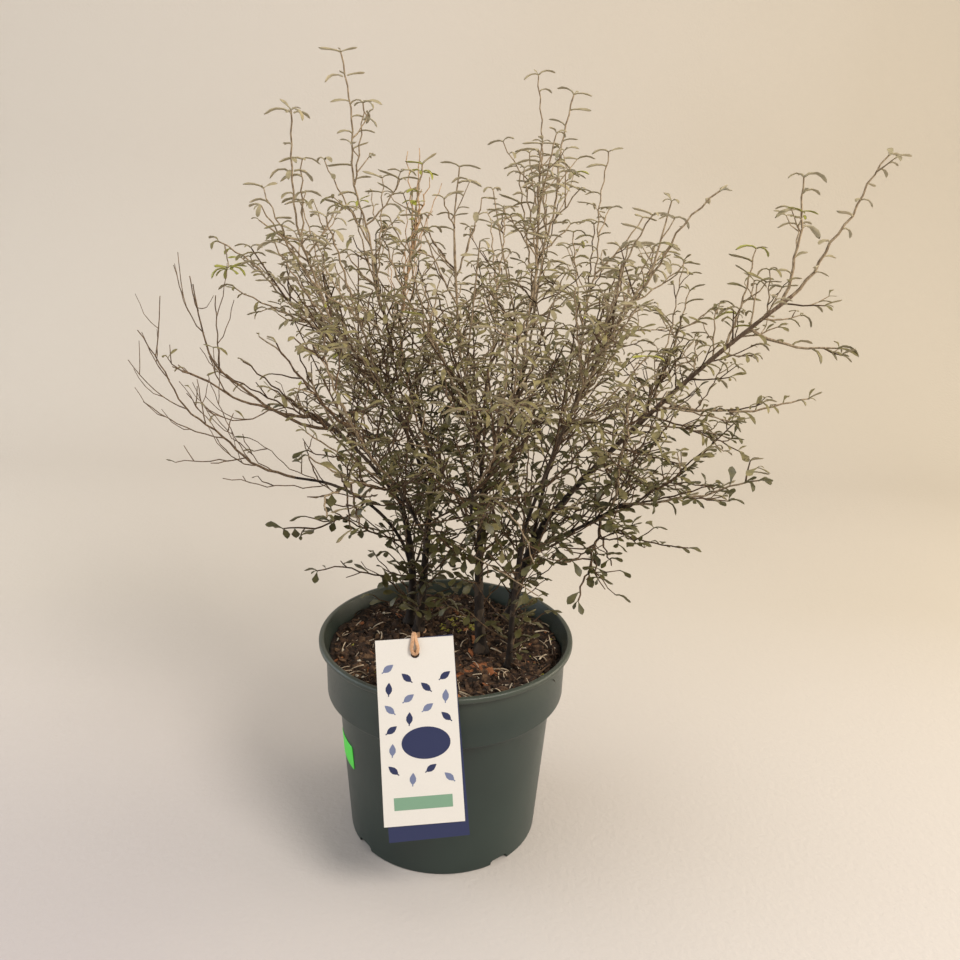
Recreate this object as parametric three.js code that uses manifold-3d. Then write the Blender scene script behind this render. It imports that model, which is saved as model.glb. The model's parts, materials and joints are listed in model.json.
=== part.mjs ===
import * as THREE from 'three';
import { mergeVertices } from 'three/addons/utils/BufferGeometryUtils.js';
import Module from 'manifold-3d';

// A small corokia shrub in its nursery pot, in millimetres, +Z up.
// The origin is the middle of the pot's flat underside. The front of the pot,
// where the hang tag is, looks towards -Y. Azimuths are in degrees round +Z,
// 0 along +X; a rise is in degrees above the level.

const wasm = await Module();
wasm.setup();

// Clear gap between neighbouring pieces, and the distance within which corners
// are one.
const GAP = 0.3;
const MERGE_DISTANCE = 1e-4;

// Pot: a tapered body, a curved ledge, a straight band above it and a rolled lip.
const POT_HEIGHT = 145;
const LIP_RADIUS = 85;
const LIP_HEIGHT = 4;
const BAND_RADIUS = 80.2;
const BAND_HEIGHT = 38.8;
const BODY_RADIUS = 72.1;
const BASE_RADIUS = 65.2;
const LEDGE_HEIGHT = 6;
const POT_WALL = 1.6;
const POT_FLOOR = 6;
const POT_FACETS = 36;
const NOTCH_COUNT = 4;
const NOTCH_WIDTH = 14;
const NOTCH_HEIGHT = 4.5;
const NOTCH_DEPTH = 3.5;
const FIRST_NOTCH_AZIMUTH = -52;

// Soil: filled to a little under the lip.
const SOIL_TOP = 135;

// Hang tag: a card that leans on the lip, with a longer dark card behind it.
const CARD_HEIGHT = 114.7;
const CARD_TOP_WIDTH = 45.5;
const CARD_BOTTOM_WIDTH = 48.5;
const CARD_THICKNESS = 0.6;
const CARD_MIDDLE = new THREE.Vector3(-11.6, -91.5, 126.6);
const CARD_LEAN = 12;
const CARD_TILT = 3.4;
const CARD_YAW = 4.8;
const HOLE_RADIUS = 2.6;
const HOLE_BELOW_TOP = 9.5;
const BACKING_DROP = 10;
const BACKING_TILT = 1.2;

// Elastic tie: a flat band looped through the card's hole and round a stem's foot.
const TIE_SECTION = [1.2, 0.7];
const TIE_SIDES = 5;
const TIE_STEM = 'stem_left_front';
const TIE_UP_STEM = 0.02;
const TIE_RING = 4.6;
const TIE_SAG = 5;

// Price label on the left of the pot's body.
const LABEL_WIDTH = 26;
const LABEL_HEIGHT = 18;
const LABEL_MIDDLE_HEIGHT = 69;
const LABEL_AZIMUTH = -161.5;
const LABEL_THICKNESS = 0.5;

// Limbs and twigs.
const LIMB_SIDES = 6;
const LIMB_STEPS = 5;
const TWIG_SIDES = 3;
const LEADER_STEPS = 5;
const KINK = 6;
const LEADER_RADIUS = 1.35;
const LEADER_TIP_RADIUS = 0.75;
const LEADER_TO_HOST = 1.1;
const TWIG_RADIUS = 0.6;
const SUNK_SHARE = 0.46;
const ROOT_FLARE = 1.1;
const FLARE_HEIGHT = 7;
const TWIG_SPACING = 20;
const FIRST_TWIG = 0.08;
const LAST_TWIG = 0.94;
const TWIG_SHORTENING = 0.72;
const TWIG_LIFT = 0.35;
const GOLDEN_ANGLE = 137.5;
const ROLL_PLAY = 50;
const TWIG_FORK = [38, 62];
const REACH_SHARE = [0.75, 1.25];
const SHORTER_TRIES = [1, 0.75, 0.5];
const TESTED_PLACES = [0.5, 0.75, 1];

// Leaves: narrow ones above, spoon-shaped ones on the low shaded twigs.
const LEAF_LENGTH = 24;
const LEAF_WIDTH = 6.8;
const SPOON_LENGTH = 17;
const SPOON_WIDTH = 7.6;
const SPOON_BELOW = 262;
const LEAF_WIDEST = 0.5;
const SPOON_WIDEST = 0.66;
const LEAF_THICKNESS = 1.3;
const LEAF_DROOP = 0.12;
const LEAF_MARGIN = 0.5;
const STALK = [0.28, 0.28];
const SIDE_LEAF_PLACE = 0.55;
const SIDE_LEAF_FORK = 60;
const LEADER_LEAVES = [0.97, 0.88, 0.76];
const LEAFY_MASS = 0.2;

// A triangle on a circle of radius 1 is this wide and this high.
const TRIANGLE_WIDTH = Math.sqrt(3);
const TRIANGLE_HEIGHT = 1.5;

// How far a mass keeps from its neighbours' spaces and from the limbs, and
// where the pot, the tag and its tie keep it out.
const SPACE_MARGIN = 1.4;
const LIMB_MARGIN = 0.8;
const LOWEST_TWIG = POT_HEIGHT + 8;
const TAG_TOP = CARD_MIDDLE.z + CARD_HEIGHT / 2 + 8;
const TAG_RIGHT = 20;

// Every limb: where it starts, its azimuth and rise at both ends, its length
// and its radius at both ends. Stems start on the soil.
const LIMBS = [
  stem('stem_left_back', [-27, 31], [-178, -170], [97, 75], 90, [2.3, 1.7]),
  stem('stem_left_front', [-20, 20], [-14, -16], [85, 87], 119, [2.3, 1.6]),
  stem('stem_centre', [24, -9], [129, 64], [81, 82], 111, [2.7, 1.8]),
  stem('stem_right', [44, 42], [-14, -8], [83, 65], 81, [3.0, 2.3]),
  stem('stem_thin', [42, -26], [38, 32], [90, 81], 95, [1.4, 1.3]),
  bough('bough_low_left', 'stem_left_back', 0.43, [-169, -176], [81, 3], 113, [1.4, 0.9]),
  bough('bough_left', 'stem_left_back', 1, [-156, -161], [59, 41], 85, [1.6, 1.0]),
  bough('bough_back_left', 'stem_left_back', 0.79, [107, 121], [48, 45], 71, [1.4, 0.9]),
  bough('bough_upper_left', 'stem_left_front', 0.82, [145, 159], [72, 48], 89, [1.4, 0.9]),
  bough('bough_left_shoot', 'stem_left_front', 1, [-142, -143], [60, 54], 87, [1.3, 0.9]),
  bough('bough_tall_left', 'stem_left_front', 1, [169, 171], [78, 70], 82, [1.4, 0.9]),
  bough('bough_front_left', 'stem_left_front', 0.57, [-108, -108], [50, 45], 81, [1.4, 0.9]),
  bough('bough_mid', 'stem_centre', 1, [-128, -131], [78, 74], 71, [1.4, 0.9]),
  bough('bough_centre_shoot', 'stem_centre', 1, [4, 5], [71, 77], 92, [1.6, 0.9]),
  bough('bough_front', 'stem_centre', 0.61, [-109, -81], [52, 49], 83, [1.4, 0.9]),
  bough('bough_back', 'stem_centre', 0.82, [94, 82], [40, 44], 82, [1.5, 0.9]),
  bough('bough_inner_right', 'stem_right', 0.69, [54, 39], [77, 69], 95, [1.5, 0.9]),
  bough('bough_right_shoot', 'stem_thin', 1, [-29, -28], [73, 69], 98, [1.3, 0.9]),
  bough('bough_far_right', 'stem_right', 1, [-15, -16], [55, 43], 216, [2.2, 1.3]),
  bough('bough_low_right', 'stem_right', 0.69, [-43, -54], [34, 39], 98, [1.6, 1.0]),
];

// Every mass: the limb its stem grows from and how far along, the azimuth and
// rise of that stem at both ends, its length, how far its twigs spread from it
// and the share of leaves that it carries.
const MASSES = [
  mass('bare_low_left', 'bough_low_left', 1, [-174, -162], [23, 74], 140, 62, 0),
  mass('sprig_low_left', 'bough_low_left', 0.56, [-141, -138], [-29, 24], 66, 26, 0.6),
  mass('bare_left', 'bough_left', 1, [-180, -128], [4, 96], 125, 62, 0),
  mass('bare_left_lower', 'bough_left', 0.84, [-154, -140], [21, 35], 114, 45, 0.15),
  mass('crown_left', 'bough_left', 0.73, [162, 168], [61, 36], 86, 56, 1),
  mass('shoot_lime_left', 'bough_upper_left', 1, [176, 176], [45, 39], 130, 50, 1),
  mass('crown_upper_left', 'bough_upper_left', 0.82, [127, 147], [29, 80], 155, 50, 1),
  mass('crown_back_left', 'bough_back_left', 1, [133, 114], [47, 59], 170, 58, 1),
  mass('shoot_left', 'bough_left_shoot', 1, [-178, -68], [54, 84], 157, 50, 1),
  mass('crown_left_inner', 'bough_left_shoot', 0.85, [-104, -114], [53, 61], 124, 52, 1),
  mass('shoot_tall_left', 'bough_tall_left', 1, [-174, -155], [72, 88], 175, 50, 1),
  mass('shoot_lime_centre', 'bough_tall_left', 0.85, [115, -18], [61, 90], 129, 50, 1),
  mass('crown_front_left', 'bough_front_left', 1, [-126, -84], [46, 48], 151, 56, 1),
  mass('skirt_front_left', 'bough_front_left', 0.85, [-137, -78], [29, -6], 112, 45, 1),
  mass('crown_mid', 'bough_mid', 1, [-149, -69], [77, 80], 134, 50, 1),
  mass('crown_mid_left', 'bough_mid', 0.78, [-133, -100], [51, 56], 138, 52, 1),
  mass('shoot_centre', 'bough_centre_shoot', 1, [-64, -144], [89, 84], 161, 50, 1),
  mass('shoot_centre_right', 'bough_centre_shoot', 0.86, [87, -17], [64, 88], 173, 50, 1),
  mass('crown_front', 'bough_front', 1, [-67, -91], [54, 46], 157, 58, 1),
  mass('crown_back', 'bough_back', 1, [84, 82], [51, 55], 168, 60, 1),
  mass('low_centre', 'stem_centre', 0.55, [-127, -115], [33, 39], 65, 42, 1),
  mass('shoot_inner_right', 'bough_inner_right', 1, [12, 29], [80, 88], 176, 50, 1),
  mass('crown_back_right', 'bough_inner_right', 0.84, [49, 46], [49, 44], 168, 60, 1),
  mass('shoot_right', 'bough_right_shoot', 1, [-20, -14], [70, 52], 133, 50, 1),
  mass('crown_right', 'bough_right_shoot', 0.82, [-81, -48], [58, 67], 137, 52, 1),
  mass('far_right_tip', 'bough_far_right', 1, [-12, -18], [59, 69], 92, 34, 1),
  mass('far_right_shoot', 'bough_far_right', 0.96, [0, 0], [75, 100], 75, 26, 1),
  mass('far_right_inner', 'bough_far_right', 0.76, [35, 58], [58, 74], 68, 34, 1),
  mass('far_right_low', 'bough_far_right', 0.86, [-32, -39], [-24, 16], 55, 30, 1),
  mass('far_right_under', 'bough_far_right', 0.54, [1, 1], [-15, 22], 96, 38, 1),
  mass('right_mid', 'bough_far_right', 0.42, [28, 53], [55, 73], 97, 54, 1),
  mass('low_right_tip', 'bough_low_right', 1, [-29, -39], [14, 32], 89, 34, 1),
  mass('skirt_right', 'bough_low_right', 0.75, [-102, -107], [-19, -7], 86, 42, 1),
  mass('crown_front_right', 'bough_low_right', 0.85, [-93, -98], [54, 35], 156, 58, 1),
];

function stem(name, foot, azimuth, rise, length, radius) {
  return { name, foot, azimuth, rise, length, radius };
}

function bough(name, on, at, azimuth, rise, length, radius) {
  return { name, on, at, azimuth, rise, length, radius };
}

function mass(name, on, at, azimuth, rise, length, spread, leafy) {
  return { name, on, at, azimuth, rise, length, spread, leafy };
}

const FINISH = {
  bark: { color: 0x2c211d, roughness: 0.85, metalness: 0 },
  foliage: { color: 0x5b5f47, roughness: 0.7, metalness: 0 },
  twigs: { color: 0x55463a, roughness: 0.85, metalness: 0 },
  pot: { color: 0x2f443d, roughness: 0.55, metalness: 0 },
  soil: { color: 0x33241b, roughness: 0.95, metalness: 0 },
  card: { color: 0xe9ecec, roughness: 0.5, metalness: 0 },
  backing: { color: 0x23305a, roughness: 0.5, metalness: 0 },
  elastic: { color: 0xc79f7c, roughness: 0.6, metalness: 0 },
  label: { color: 0x3fd24a, roughness: 0.5, metalness: 0 },
};

const shrub = new THREE.Group();

function addNode(name, geometry, finish) {
  const node = new THREE.Mesh(geometry, new THREE.MeshStandardMaterial(FINISH[finish]));
  node.name = name;
  shrub.add(node);
}

// Share the corners of a closed geometry and drop the faces that a pole or a
// pointed tip has squeezed to nothing.
function closedBody(geometry) {
  geometry.deleteAttribute('normal');
  geometry.deleteAttribute('uv');
  const merged = mergeVertices(geometry, MERGE_DISTANCE);
  const faces = [];
  for (let i = 0; i < merged.index.count; i += 3) {
    const corners = [0, 1, 2].map((n) => merged.index.getX(i + n));
    if (new Set(corners).size === 3) {
      faces.push(...corners);
    }
  }
  merged.setIndex(faces);
  return merged;
}

// Turn a closed geometry into a solid, and back.
function solidFrom(geometry) {
  const body = closedBody(geometry);
  return new wasm.Manifold(new wasm.Mesh({
    numProp: 3,
    vertProperties: new Float32Array(body.attributes.position.array),
    triVerts: new Uint32Array(body.index.array),
  }));
}

function geometryFrom(solid) {
  const mesh = solid.getMesh();
  const geometry = new THREE.BufferGeometry();
  const corners = new Float32Array(mesh.vertProperties);
  geometry.setAttribute('position', new THREE.BufferAttribute(corners, 3));
  geometry.setIndex(new THREE.BufferAttribute(new Uint32Array(mesh.triVerts), 1));
  return geometry;
}

// Keep the largest body only: loose scraps and sealed hollows go.
function oneBody(solid) {
  const bodies = solid.simplify(0.01).decompose();
  return bodies.reduce((best, body) => (body.volume() > best.volume() ? body : best));
}

function unitVector(azimuthDegrees, riseDegrees) {
  const azimuth = THREE.MathUtils.degToRad(azimuthDegrees);
  const rise = THREE.MathUtils.degToRad(riseDegrees);
  return new THREE.Vector3(
    Math.cos(rise) * Math.cos(azimuth),
    Math.cos(rise) * Math.sin(azimuth),
    Math.sin(rise),
  );
}

function between(range, share) {
  return THREE.MathUtils.lerp(range[0], range[1], share);
}

function seeded(seed) {
  let state = seed >>> 0;
  return () => {
    state = (state + 0x6d2b79f5) >>> 0;
    let t = state;
    t = Math.imul(t ^ (t >>> 15), t | 1);
    t ^= t + Math.imul(t ^ (t >>> 7), t | 61);
    return ((t ^ (t >>> 14)) >>> 0) / 4294967296;
  };
}

// A limb's centre line: its azimuth and rise change evenly from one end to the
// other, with a small zigzag of `kink` degrees on twigs.
function arcPath(start, row, steps, kink) {
  const points = [start.clone()];
  for (let i = 0; i < steps; i += 1) {
    const t = (i + 0.5) / steps;
    const zigzag = kink * (i % 2 === 0 ? 1 : -1);
    const azimuth = between(row.azimuth, t) + zigzag;
    const rise = between(row.rise, t) - zigzag;
    const last = points[points.length - 1];
    points.push(last.clone().addScaledVector(unitVector(azimuth, rise), row.length / steps));
  }
  return points;
}

function pointAlong(points, t) {
  const place = t * (points.length - 1);
  const i = Math.min(Math.floor(place), points.length - 2);
  return points[i].clone().lerp(points[i + 1], place - i);
}

function directionAlong(points, t) {
  const i = Math.min(Math.floor(t * (points.length - 1)), points.length - 2);
  return points[i + 1].clone().sub(points[i]).normalize();
}

function distanceToPath(point, points) {
  const nearest = new THREE.Vector3();
  const piece = new THREE.Line3();
  let shortest = Infinity;
  for (let i = 0; i + 1 < points.length; i += 1) {
    piece.set(points[i], points[i + 1]);
    piece.closestPointToPoint(point, true, nearest);
    shortest = Math.min(shortest, nearest.distanceTo(point));
  }
  return shortest;
}

// A cylinder bent along a path. Each ring has its own two half-widths, across
// and around. A flat foot turns the lowest ring level, where a stem meets the
// soil.
function bentTube(points, sections, sides, flatFoot = false) {
  const steps = points.length - 1;
  const tube = new THREE.CylinderGeometry(1, 1, 1, sides, steps);
  const rings = [];
  let across = squareTo(directionAlong(points, 0))[0];
  for (let i = 0; i <= steps; i += 1) {
    const before = points[Math.max(i - 1, 0)];
    const after = points[Math.min(i + 1, steps)];
    const along = after.clone().sub(before).normalize();
    if (flatFoot && i === 0) {
      along.set(0, 0, 1);
    }
    across = across.clone().addScaledVector(along, -across.dot(along)).normalize();
    rings.push({ across, around: across.clone().cross(along) });
  }
  const position = tube.attributes.position;
  for (let v = 0; v < position.count; v += 1) {
    const i = Math.round((position.getY(v) + 0.5) * steps);
    const place = points[i].clone();
    place.addScaledVector(rings[i].across, position.getX(v) * sections[i][0]);
    place.addScaledVector(rings[i].around, position.getZ(v) * sections[i][1]);
    position.setXYZ(v, place.x, place.y, place.z);
  }
  return tube;
}

function roundSections(radii) {
  return radii.map((radius) => [radius, radius]);
}

function taper(from, to, steps) {
  return Array.from({ length: steps + 1 }, (_, i) => THREE.MathUtils.lerp(from, to, i / steps));
}

// Limbs: each centre line first, then the solids. A stem flares where it meets
// the soil. A bough starts inside its stem and is cut 0.3 mm clear of it.
const limbs = new Map();
for (const row of LIMBS) {
  const host = limbs.get(row.on);
  const start = host
    ? pointAlong(host.points, row.at)
    : new THREE.Vector3(row.foot[0], row.foot[1], SOIL_TOP + GAP);
  const points = arcPath(start, row, LIMB_STEPS, 0);
  const radii = taper(row.radius[0], row.radius[1], LIMB_STEPS);
  if (!host) {
    const flare = pointAlong(points, FLARE_HEIGHT / row.length);
    points.splice(1, 0, flare);
    radii.splice(1, 0, row.radius[0]);
    radii[0] += ROOT_FLARE;
  }
  limbs.set(row.name, { ...row, points, radii });
}

function grownBy(limb, extra) {
  const points = limb.points.map((point) => point.clone());
  const last = points.length - 1;
  points[0].addScaledVector(directionAlong(limb.points, 0), -extra);
  points[last].addScaledVector(directionAlong(limb.points, 1), extra);
  const sections = roundSections(limb.radii.map((radius) => radius + extra));
  return solidFrom(bentTube(points, sections, LIMB_SIDES));
}

const clearOfLimb = new Map();
for (const limb of limbs.values()) {
  const tube = bentTube(limb.points, roundSections(limb.radii), LIMB_SIDES, !limb.on);
  let solid = solidFrom(tube);
  for (const earlier of clearOfLimb.values()) {
    solid = solid.subtract(earlier);
  }
  addNode(limb.name, geometryFrom(oneBody(solid)), 'bark');
  clearOfLimb.set(limb.name, grownBy(limb, GAP));
}

// Masses: the stem of each is its leader. Its own space is nearer to its leader
// than to any other leader, and clear of every limb.
const leaders = new Map();
for (const row of MASSES) {
  const host = limbs.get(row.on);
  const start = pointAlong(host.points, row.at);
  const points = arcPath(start, row, LEADER_STEPS, KINK);
  const baseRadius = Math.min(between(host.radius, row.at) * LEADER_TO_HOST, LEADER_RADIUS);
  leaders.set(row.name, { ...row, points, radii: taper(baseRadius, LEADER_TIP_RADIUS, LEADER_STEPS) });
}

function inOwnSpace(point, radius, owner) {
  if (point.z < LOWEST_TWIG) {
    return false;
  }
  if (point.z < TAG_TOP && point.x < TAG_RIGHT) {
    return false;
  }
  for (const limb of limbs.values()) {
    if (distanceToPath(point, limb.points) < limb.radius[0] + LIMB_MARGIN + radius) {
      return false;
    }
  }
  const own = distanceToPath(point, leaders.get(owner).points);
  for (const [name, leader] of leaders) {
    if (name !== owner && distanceToPath(point, leader.points) < own + SPACE_MARGIN + radius) {
      return false;
    }
  }
  return true;
}

// Two directions square to a given one.
function squareTo(direction) {
  const level = Math.abs(direction.z) > 0.95 ? new THREE.Vector3(1, 0, 0) : new THREE.Vector3(0, 0, 1);
  const across = level.cross(direction).normalize();
  return [across, direction.clone().cross(across)];
}

// A direction that forks off another by an angle, rolled round it.
function forkedFrom(direction, forkDegrees, rollDegrees) {
  const [across, up] = squareTo(direction);
  const fork = THREE.MathUtils.degToRad(forkDegrees);
  const roll = THREE.MathUtils.degToRad(rollDegrees);
  return direction.clone().multiplyScalar(Math.cos(fork))
    .addScaledVector(across, Math.cos(roll) * Math.sin(fork))
    .addScaledVector(up, Math.sin(roll) * Math.sin(fork));
}

// A leaf is the end of a three-sided tube: it opens from its stalk to a flat
// keeled blade and closes to a point. Low down it is a broad spoon.
function leafShape(root) {
  return root.z < SPOON_BELOW
    ? { length: SPOON_LENGTH, width: SPOON_WIDTH, widest: SPOON_WIDEST }
    : { length: LEAF_LENGTH, width: LEAF_WIDTH, widest: LEAF_WIDEST };
}

function leafRings(root, direction) {
  const { length, width, widest } = leafShape(root);
  return {
    points: [widest, 1].map((share) => root.clone().addScaledVector(direction, share * length)),
    sections: [[width / TRIANGLE_WIDTH, LEAF_THICKNESS / TRIANGLE_HEIGHT], [0, 0]],
  };
}

function leafFits(root, direction, owner) {
  const { length, width, widest } = leafShape(root);
  const [across] = squareTo(direction);
  for (const [share, side] of [[1, 0], [widest, 0.5], [widest, -0.5], [0.8, 0], [0.4, 0]]) {
    const place = root.clone().addScaledVector(direction, share * length);
    place.addScaledVector(across, side * width);
    if (!inOwnSpace(place, LEAF_MARGIN, owner)) {
      return false;
    }
  }
  return true;
}

// A three-sided twig, with a leaf on its end where there is room for one.
function tippedTwig(points, radii, leafy, owner) {
  const sections = roundSections(radii);
  const tip = points[points.length - 1];
  const direction = drooping(directionAlong(points, 1));
  const bladed = leafy && leafFits(tip, direction, owner);
  if (!bladed) {
    return solidFrom(bentTube(points, sections, TWIG_SIDES));
  }
  const leaf = leafRings(tip, direction);
  return solidFrom(bentTube([...points, ...leaf.points], [...sections, ...leaf.sections], TWIG_SIDES));
}

function drooping(direction) {
  direction.z -= LEAF_DROOP;
  return direction.normalize();
}

// A leaf on the side of a twig, its stalk sunk to the twig's middle.
function sideLeaf(points, place, fork, roll, owner) {
  const root = pointAlong(points, place);
  const direction = drooping(forkedFrom(directionAlong(points, place), fork, roll));
  if (!leafFits(root, direction, owner)) {
    return [];
  }
  const leaf = leafRings(root, direction);
  return [solidFrom(bentTube([root, ...leaf.points], [STALK, ...leaf.sections], TWIG_SIDES))];
}

// Side twigs turn about the leader by the golden angle, get shorter towards its
// tip and lift towards the light. One that would leave the space is shortened,
// then skipped.
function sideTwigs(leader, seed) {
  const twigs = [];
  const count = Math.round(leader.length / TWIG_SPACING);
  for (let k = 0; k < count; k += 1) {
    const random = seeded(seed * 1000 + k);
    const t = FIRST_TWIG + (LAST_TWIG - FIRST_TWIG) * (k + random()) / count;
    const roll = k * GOLDEN_ANGLE + ROLL_PLAY * random();
    const fork = between(TWIG_FORK, random());
    const reach = leader.spread * (1 - TWIG_SHORTENING * t) * between(REACH_SHARE, random());
    const direction = forkedFrom(directionAlong(leader.points, t), fork, roll);
    direction.z += TWIG_LIFT * random();
    direction.normalize();
    const foot = pointAlong(leader.points, t);
    const tipAt = (share) => foot.clone().addScaledVector(direction, reach * share);
    const shorter = SHORTER_TRIES.find((share) => (
      TESTED_PLACES.every((place) => inOwnSpace(tipAt(share * place), TWIG_RADIUS, leader.name))));
    if (shorter) {
      twigs.push({ points: [foot, tipAt(shorter)], t });
    }
  }
  return twigs;
}

MASSES.forEach((row, index) => {
  const leader = leaders.get(row.name);
  const random = seeded(index + 1);
  const solids = [tippedTwig(leader.points, leader.radii, row.leafy > 0, row.name)];
  for (const twig of sideTwigs(leader, index + 1)) {
    const leaderRadius = THREE.MathUtils.lerp(leader.radii[0], LEADER_TIP_RADIUS, twig.t);
    const radii = [leaderRadius * SUNK_SHARE, TWIG_RADIUS];
    solids.push(tippedTwig(twig.points, radii, random() < row.leafy, row.name));
    if (random() < row.leafy) {
      solids.push(...sideLeaf(twig.points, SIDE_LEAF_PLACE, SIDE_LEAF_FORK, 360 * random(), row.name));
    }
  }
  if (row.leafy > 0) {
    LEADER_LEAVES.forEach((place, k) => {
      solids.push(...sideLeaf(leader.points, place, SIDE_LEAF_FORK, k * GOLDEN_ANGLE, row.name));
    });
  }
  let solid = wasm.Manifold.union(solids);
  for (const limb of clearOfLimb.values()) {
    solid = solid.subtract(limb);
  }
  addNode(row.name, geometryFrom(oneBody(solid)), row.leafy > LEAFY_MASS ? 'foliage' : 'twigs');
});

// Pot: one closed profile turned round the axis, with notches cut in its foot.
function turned(outline) {
  const points = outline.map(([radius, height]) => new THREE.Vector2(radius, height));
  const lathe = new THREE.LatheGeometry(points, POT_FACETS);
  lathe.rotateX(Math.PI / 2);
  return closedBody(lathe);
}

const LEDGE_TOP = POT_HEIGHT - BAND_HEIGHT;
const INNER_BAND = BAND_RADIUS - POT_WALL;
const INNER_BODY = BODY_RADIUS - POT_WALL;
const INNER_BASE = BASE_RADIUS - POT_WALL;

const potOutline = [
  [0, 0],
  [BASE_RADIUS - 1, 0],
  [BASE_RADIUS, 1],
  [BODY_RADIUS, LEDGE_TOP - LEDGE_HEIGHT],
  [BODY_RADIUS + 3, LEDGE_TOP - 2],
  [BAND_RADIUS - 0.6, LEDGE_TOP + 1.5],
  [BAND_RADIUS, POT_HEIGHT - LIP_HEIGHT],
  [LIP_RADIUS - 0.6, POT_HEIGHT - LIP_HEIGHT + 0.3],
  [LIP_RADIUS, POT_HEIGHT - 1.3],
  [LIP_RADIUS - 1.3, POT_HEIGHT],
  [INNER_BAND, POT_HEIGHT],
  [INNER_BAND - 1, LEDGE_TOP + 3],
  [INNER_BODY, LEDGE_TOP - LEDGE_HEIGHT],
  [INNER_BASE, POT_FLOOR],
  [0, POT_FLOOR],
];

function potSolid() {
  let pot = solidFrom(turned(potOutline));
  for (let i = 0; i < NOTCH_COUNT; i += 1) {
    const notch = new THREE.BoxGeometry(NOTCH_DEPTH * 2, NOTCH_WIDTH, NOTCH_HEIGHT * 2);
    notch.translate(BASE_RADIUS, 0, 0);
    const turn = FIRST_NOTCH_AZIMUTH - 90 + i * 360 / NOTCH_COUNT;
    notch.rotateZ(THREE.MathUtils.degToRad(turn));
    pot = pot.subtract(solidFrom(notch));
  }
  return pot;
}
addNode('pot', geometryFrom(oneBody(potSolid())), 'pot');

const soilOutline = [
  [0, POT_FLOOR + GAP],
  [INNER_BASE - GAP - 0.1, POT_FLOOR + GAP],
  [INNER_BODY - GAP - 0.1, LEDGE_TOP - LEDGE_HEIGHT],
  [INNER_BAND - 1 - GAP - 0.1, LEDGE_TOP + 3.3],
  [INNER_BAND - GAP - 0.2, SOIL_TOP],
  [0, SOIL_TOP],
];
addNode('soil', turned(soilOutline), 'soil');

// Cards: a flat tapering outline with a punched hole, extruded, then leaned
// back on the lip. The hole is where its pattern is drawn from.
function placeOnTag(object) {
  object.rotateZ(THREE.MathUtils.degToRad(CARD_TILT));
  object.rotateX(THREE.MathUtils.degToRad(90 - CARD_LEAN));
  object.rotateZ(THREE.MathUtils.degToRad(CARD_YAW));
  object.translate(CARD_MIDDLE.x, CARD_MIDDLE.y, CARD_MIDDLE.z);
  return object;
}

const HOLE_HEIGHT = CARD_HEIGHT / 2 - HOLE_BELOW_TOP;

function cardGeometry(height, tilt, setBack) {
  const top = HOLE_BELOW_TOP;
  const bottom = HOLE_BELOW_TOP - height;
  const outline = new THREE.Shape();
  outline.moveTo(-CARD_BOTTOM_WIDTH / 2, bottom);
  outline.lineTo(CARD_BOTTOM_WIDTH / 2, bottom);
  outline.lineTo(CARD_TOP_WIDTH / 2, top);
  outline.lineTo(-CARD_TOP_WIDTH / 2, top);
  outline.closePath();
  const hole = new THREE.Path();
  hole.absarc(0, 0, HOLE_RADIUS, 0, Math.PI * 2, true);
  outline.holes.push(hole);
  const card = new THREE.ExtrudeGeometry(outline, {
    depth: CARD_THICKNESS,
    bevelEnabled: false,
    curveSegments: 5,
  });
  card.rotateZ(THREE.MathUtils.degToRad(tilt));
  card.translate(0, HOLE_HEIGHT, -CARD_THICKNESS / 2 - setBack);
  return closedBody(placeOnTag(card));
}
addNode('tag_card', cardGeometry(CARD_HEIGHT, 0, 0), 'card');
addNode(
  'tag_backing',
  cardGeometry(CARD_HEIGHT + BACKING_DROP, BACKING_TILT, CARD_THICKNESS + GAP),
  'backing',
);

// The tie runs from its ring on the stem, through both holes, up the front of
// the card, over the top edge and back to the ring.
function tieSolid() {
  const stemLimb = limbs.get(TIE_STEM);
  const knot = pointAlong(stemLimb.points, TIE_UP_STEM);
  const ring = new THREE.TorusGeometry(TIE_RING, TIE_SECTION[1], TIE_SIDES, 9);
  ring.translate(knot.x, knot.y, knot.z);
  const onTag = (up, out) => {
    const spot = new THREE.BufferGeometry().setFromPoints([new THREE.Vector3(0, HOLE_HEIGHT + up, out)]);
    return new THREE.Vector3().fromBufferAttribute(placeOnTag(spot).attributes.position, 0);
  };
  const ringFront = knot.clone().add(new THREE.Vector3(0, -TIE_RING, 0));
  const behindHole = onTag(-0.5, -8);
  const behindTop = onTag(HOLE_BELOW_TOP + 0.5, -7);
  const sag = new THREE.Vector3(0, 0, -TIE_SAG);
  const points = [
    ringFront,
    ringFront.clone().lerp(behindHole, 0.5).add(sag),
    behindHole,
    onTag(0, -2),
    onTag(0, 0.8),
    onTag(1.2, 2),
    onTag(HOLE_BELOW_TOP - 1, 2),
    onTag(HOLE_BELOW_TOP + 1.6, 1),
    onTag(HOLE_BELOW_TOP + 1.7, -2),
    behindTop,
    ringFront.clone().lerp(behindTop, 0.5).add(sag),
    ringFront.clone().add(new THREE.Vector3(0, 0, 0.4)),
  ];
  const sections = points.map(() => TIE_SECTION);
  return solidFrom(bentTube(points, sections, TIE_SIDES)).add(solidFrom(ring));
}
addNode('tag_tie', geometryFrom(oneBody(tieSolid())), 'elastic');

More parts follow.
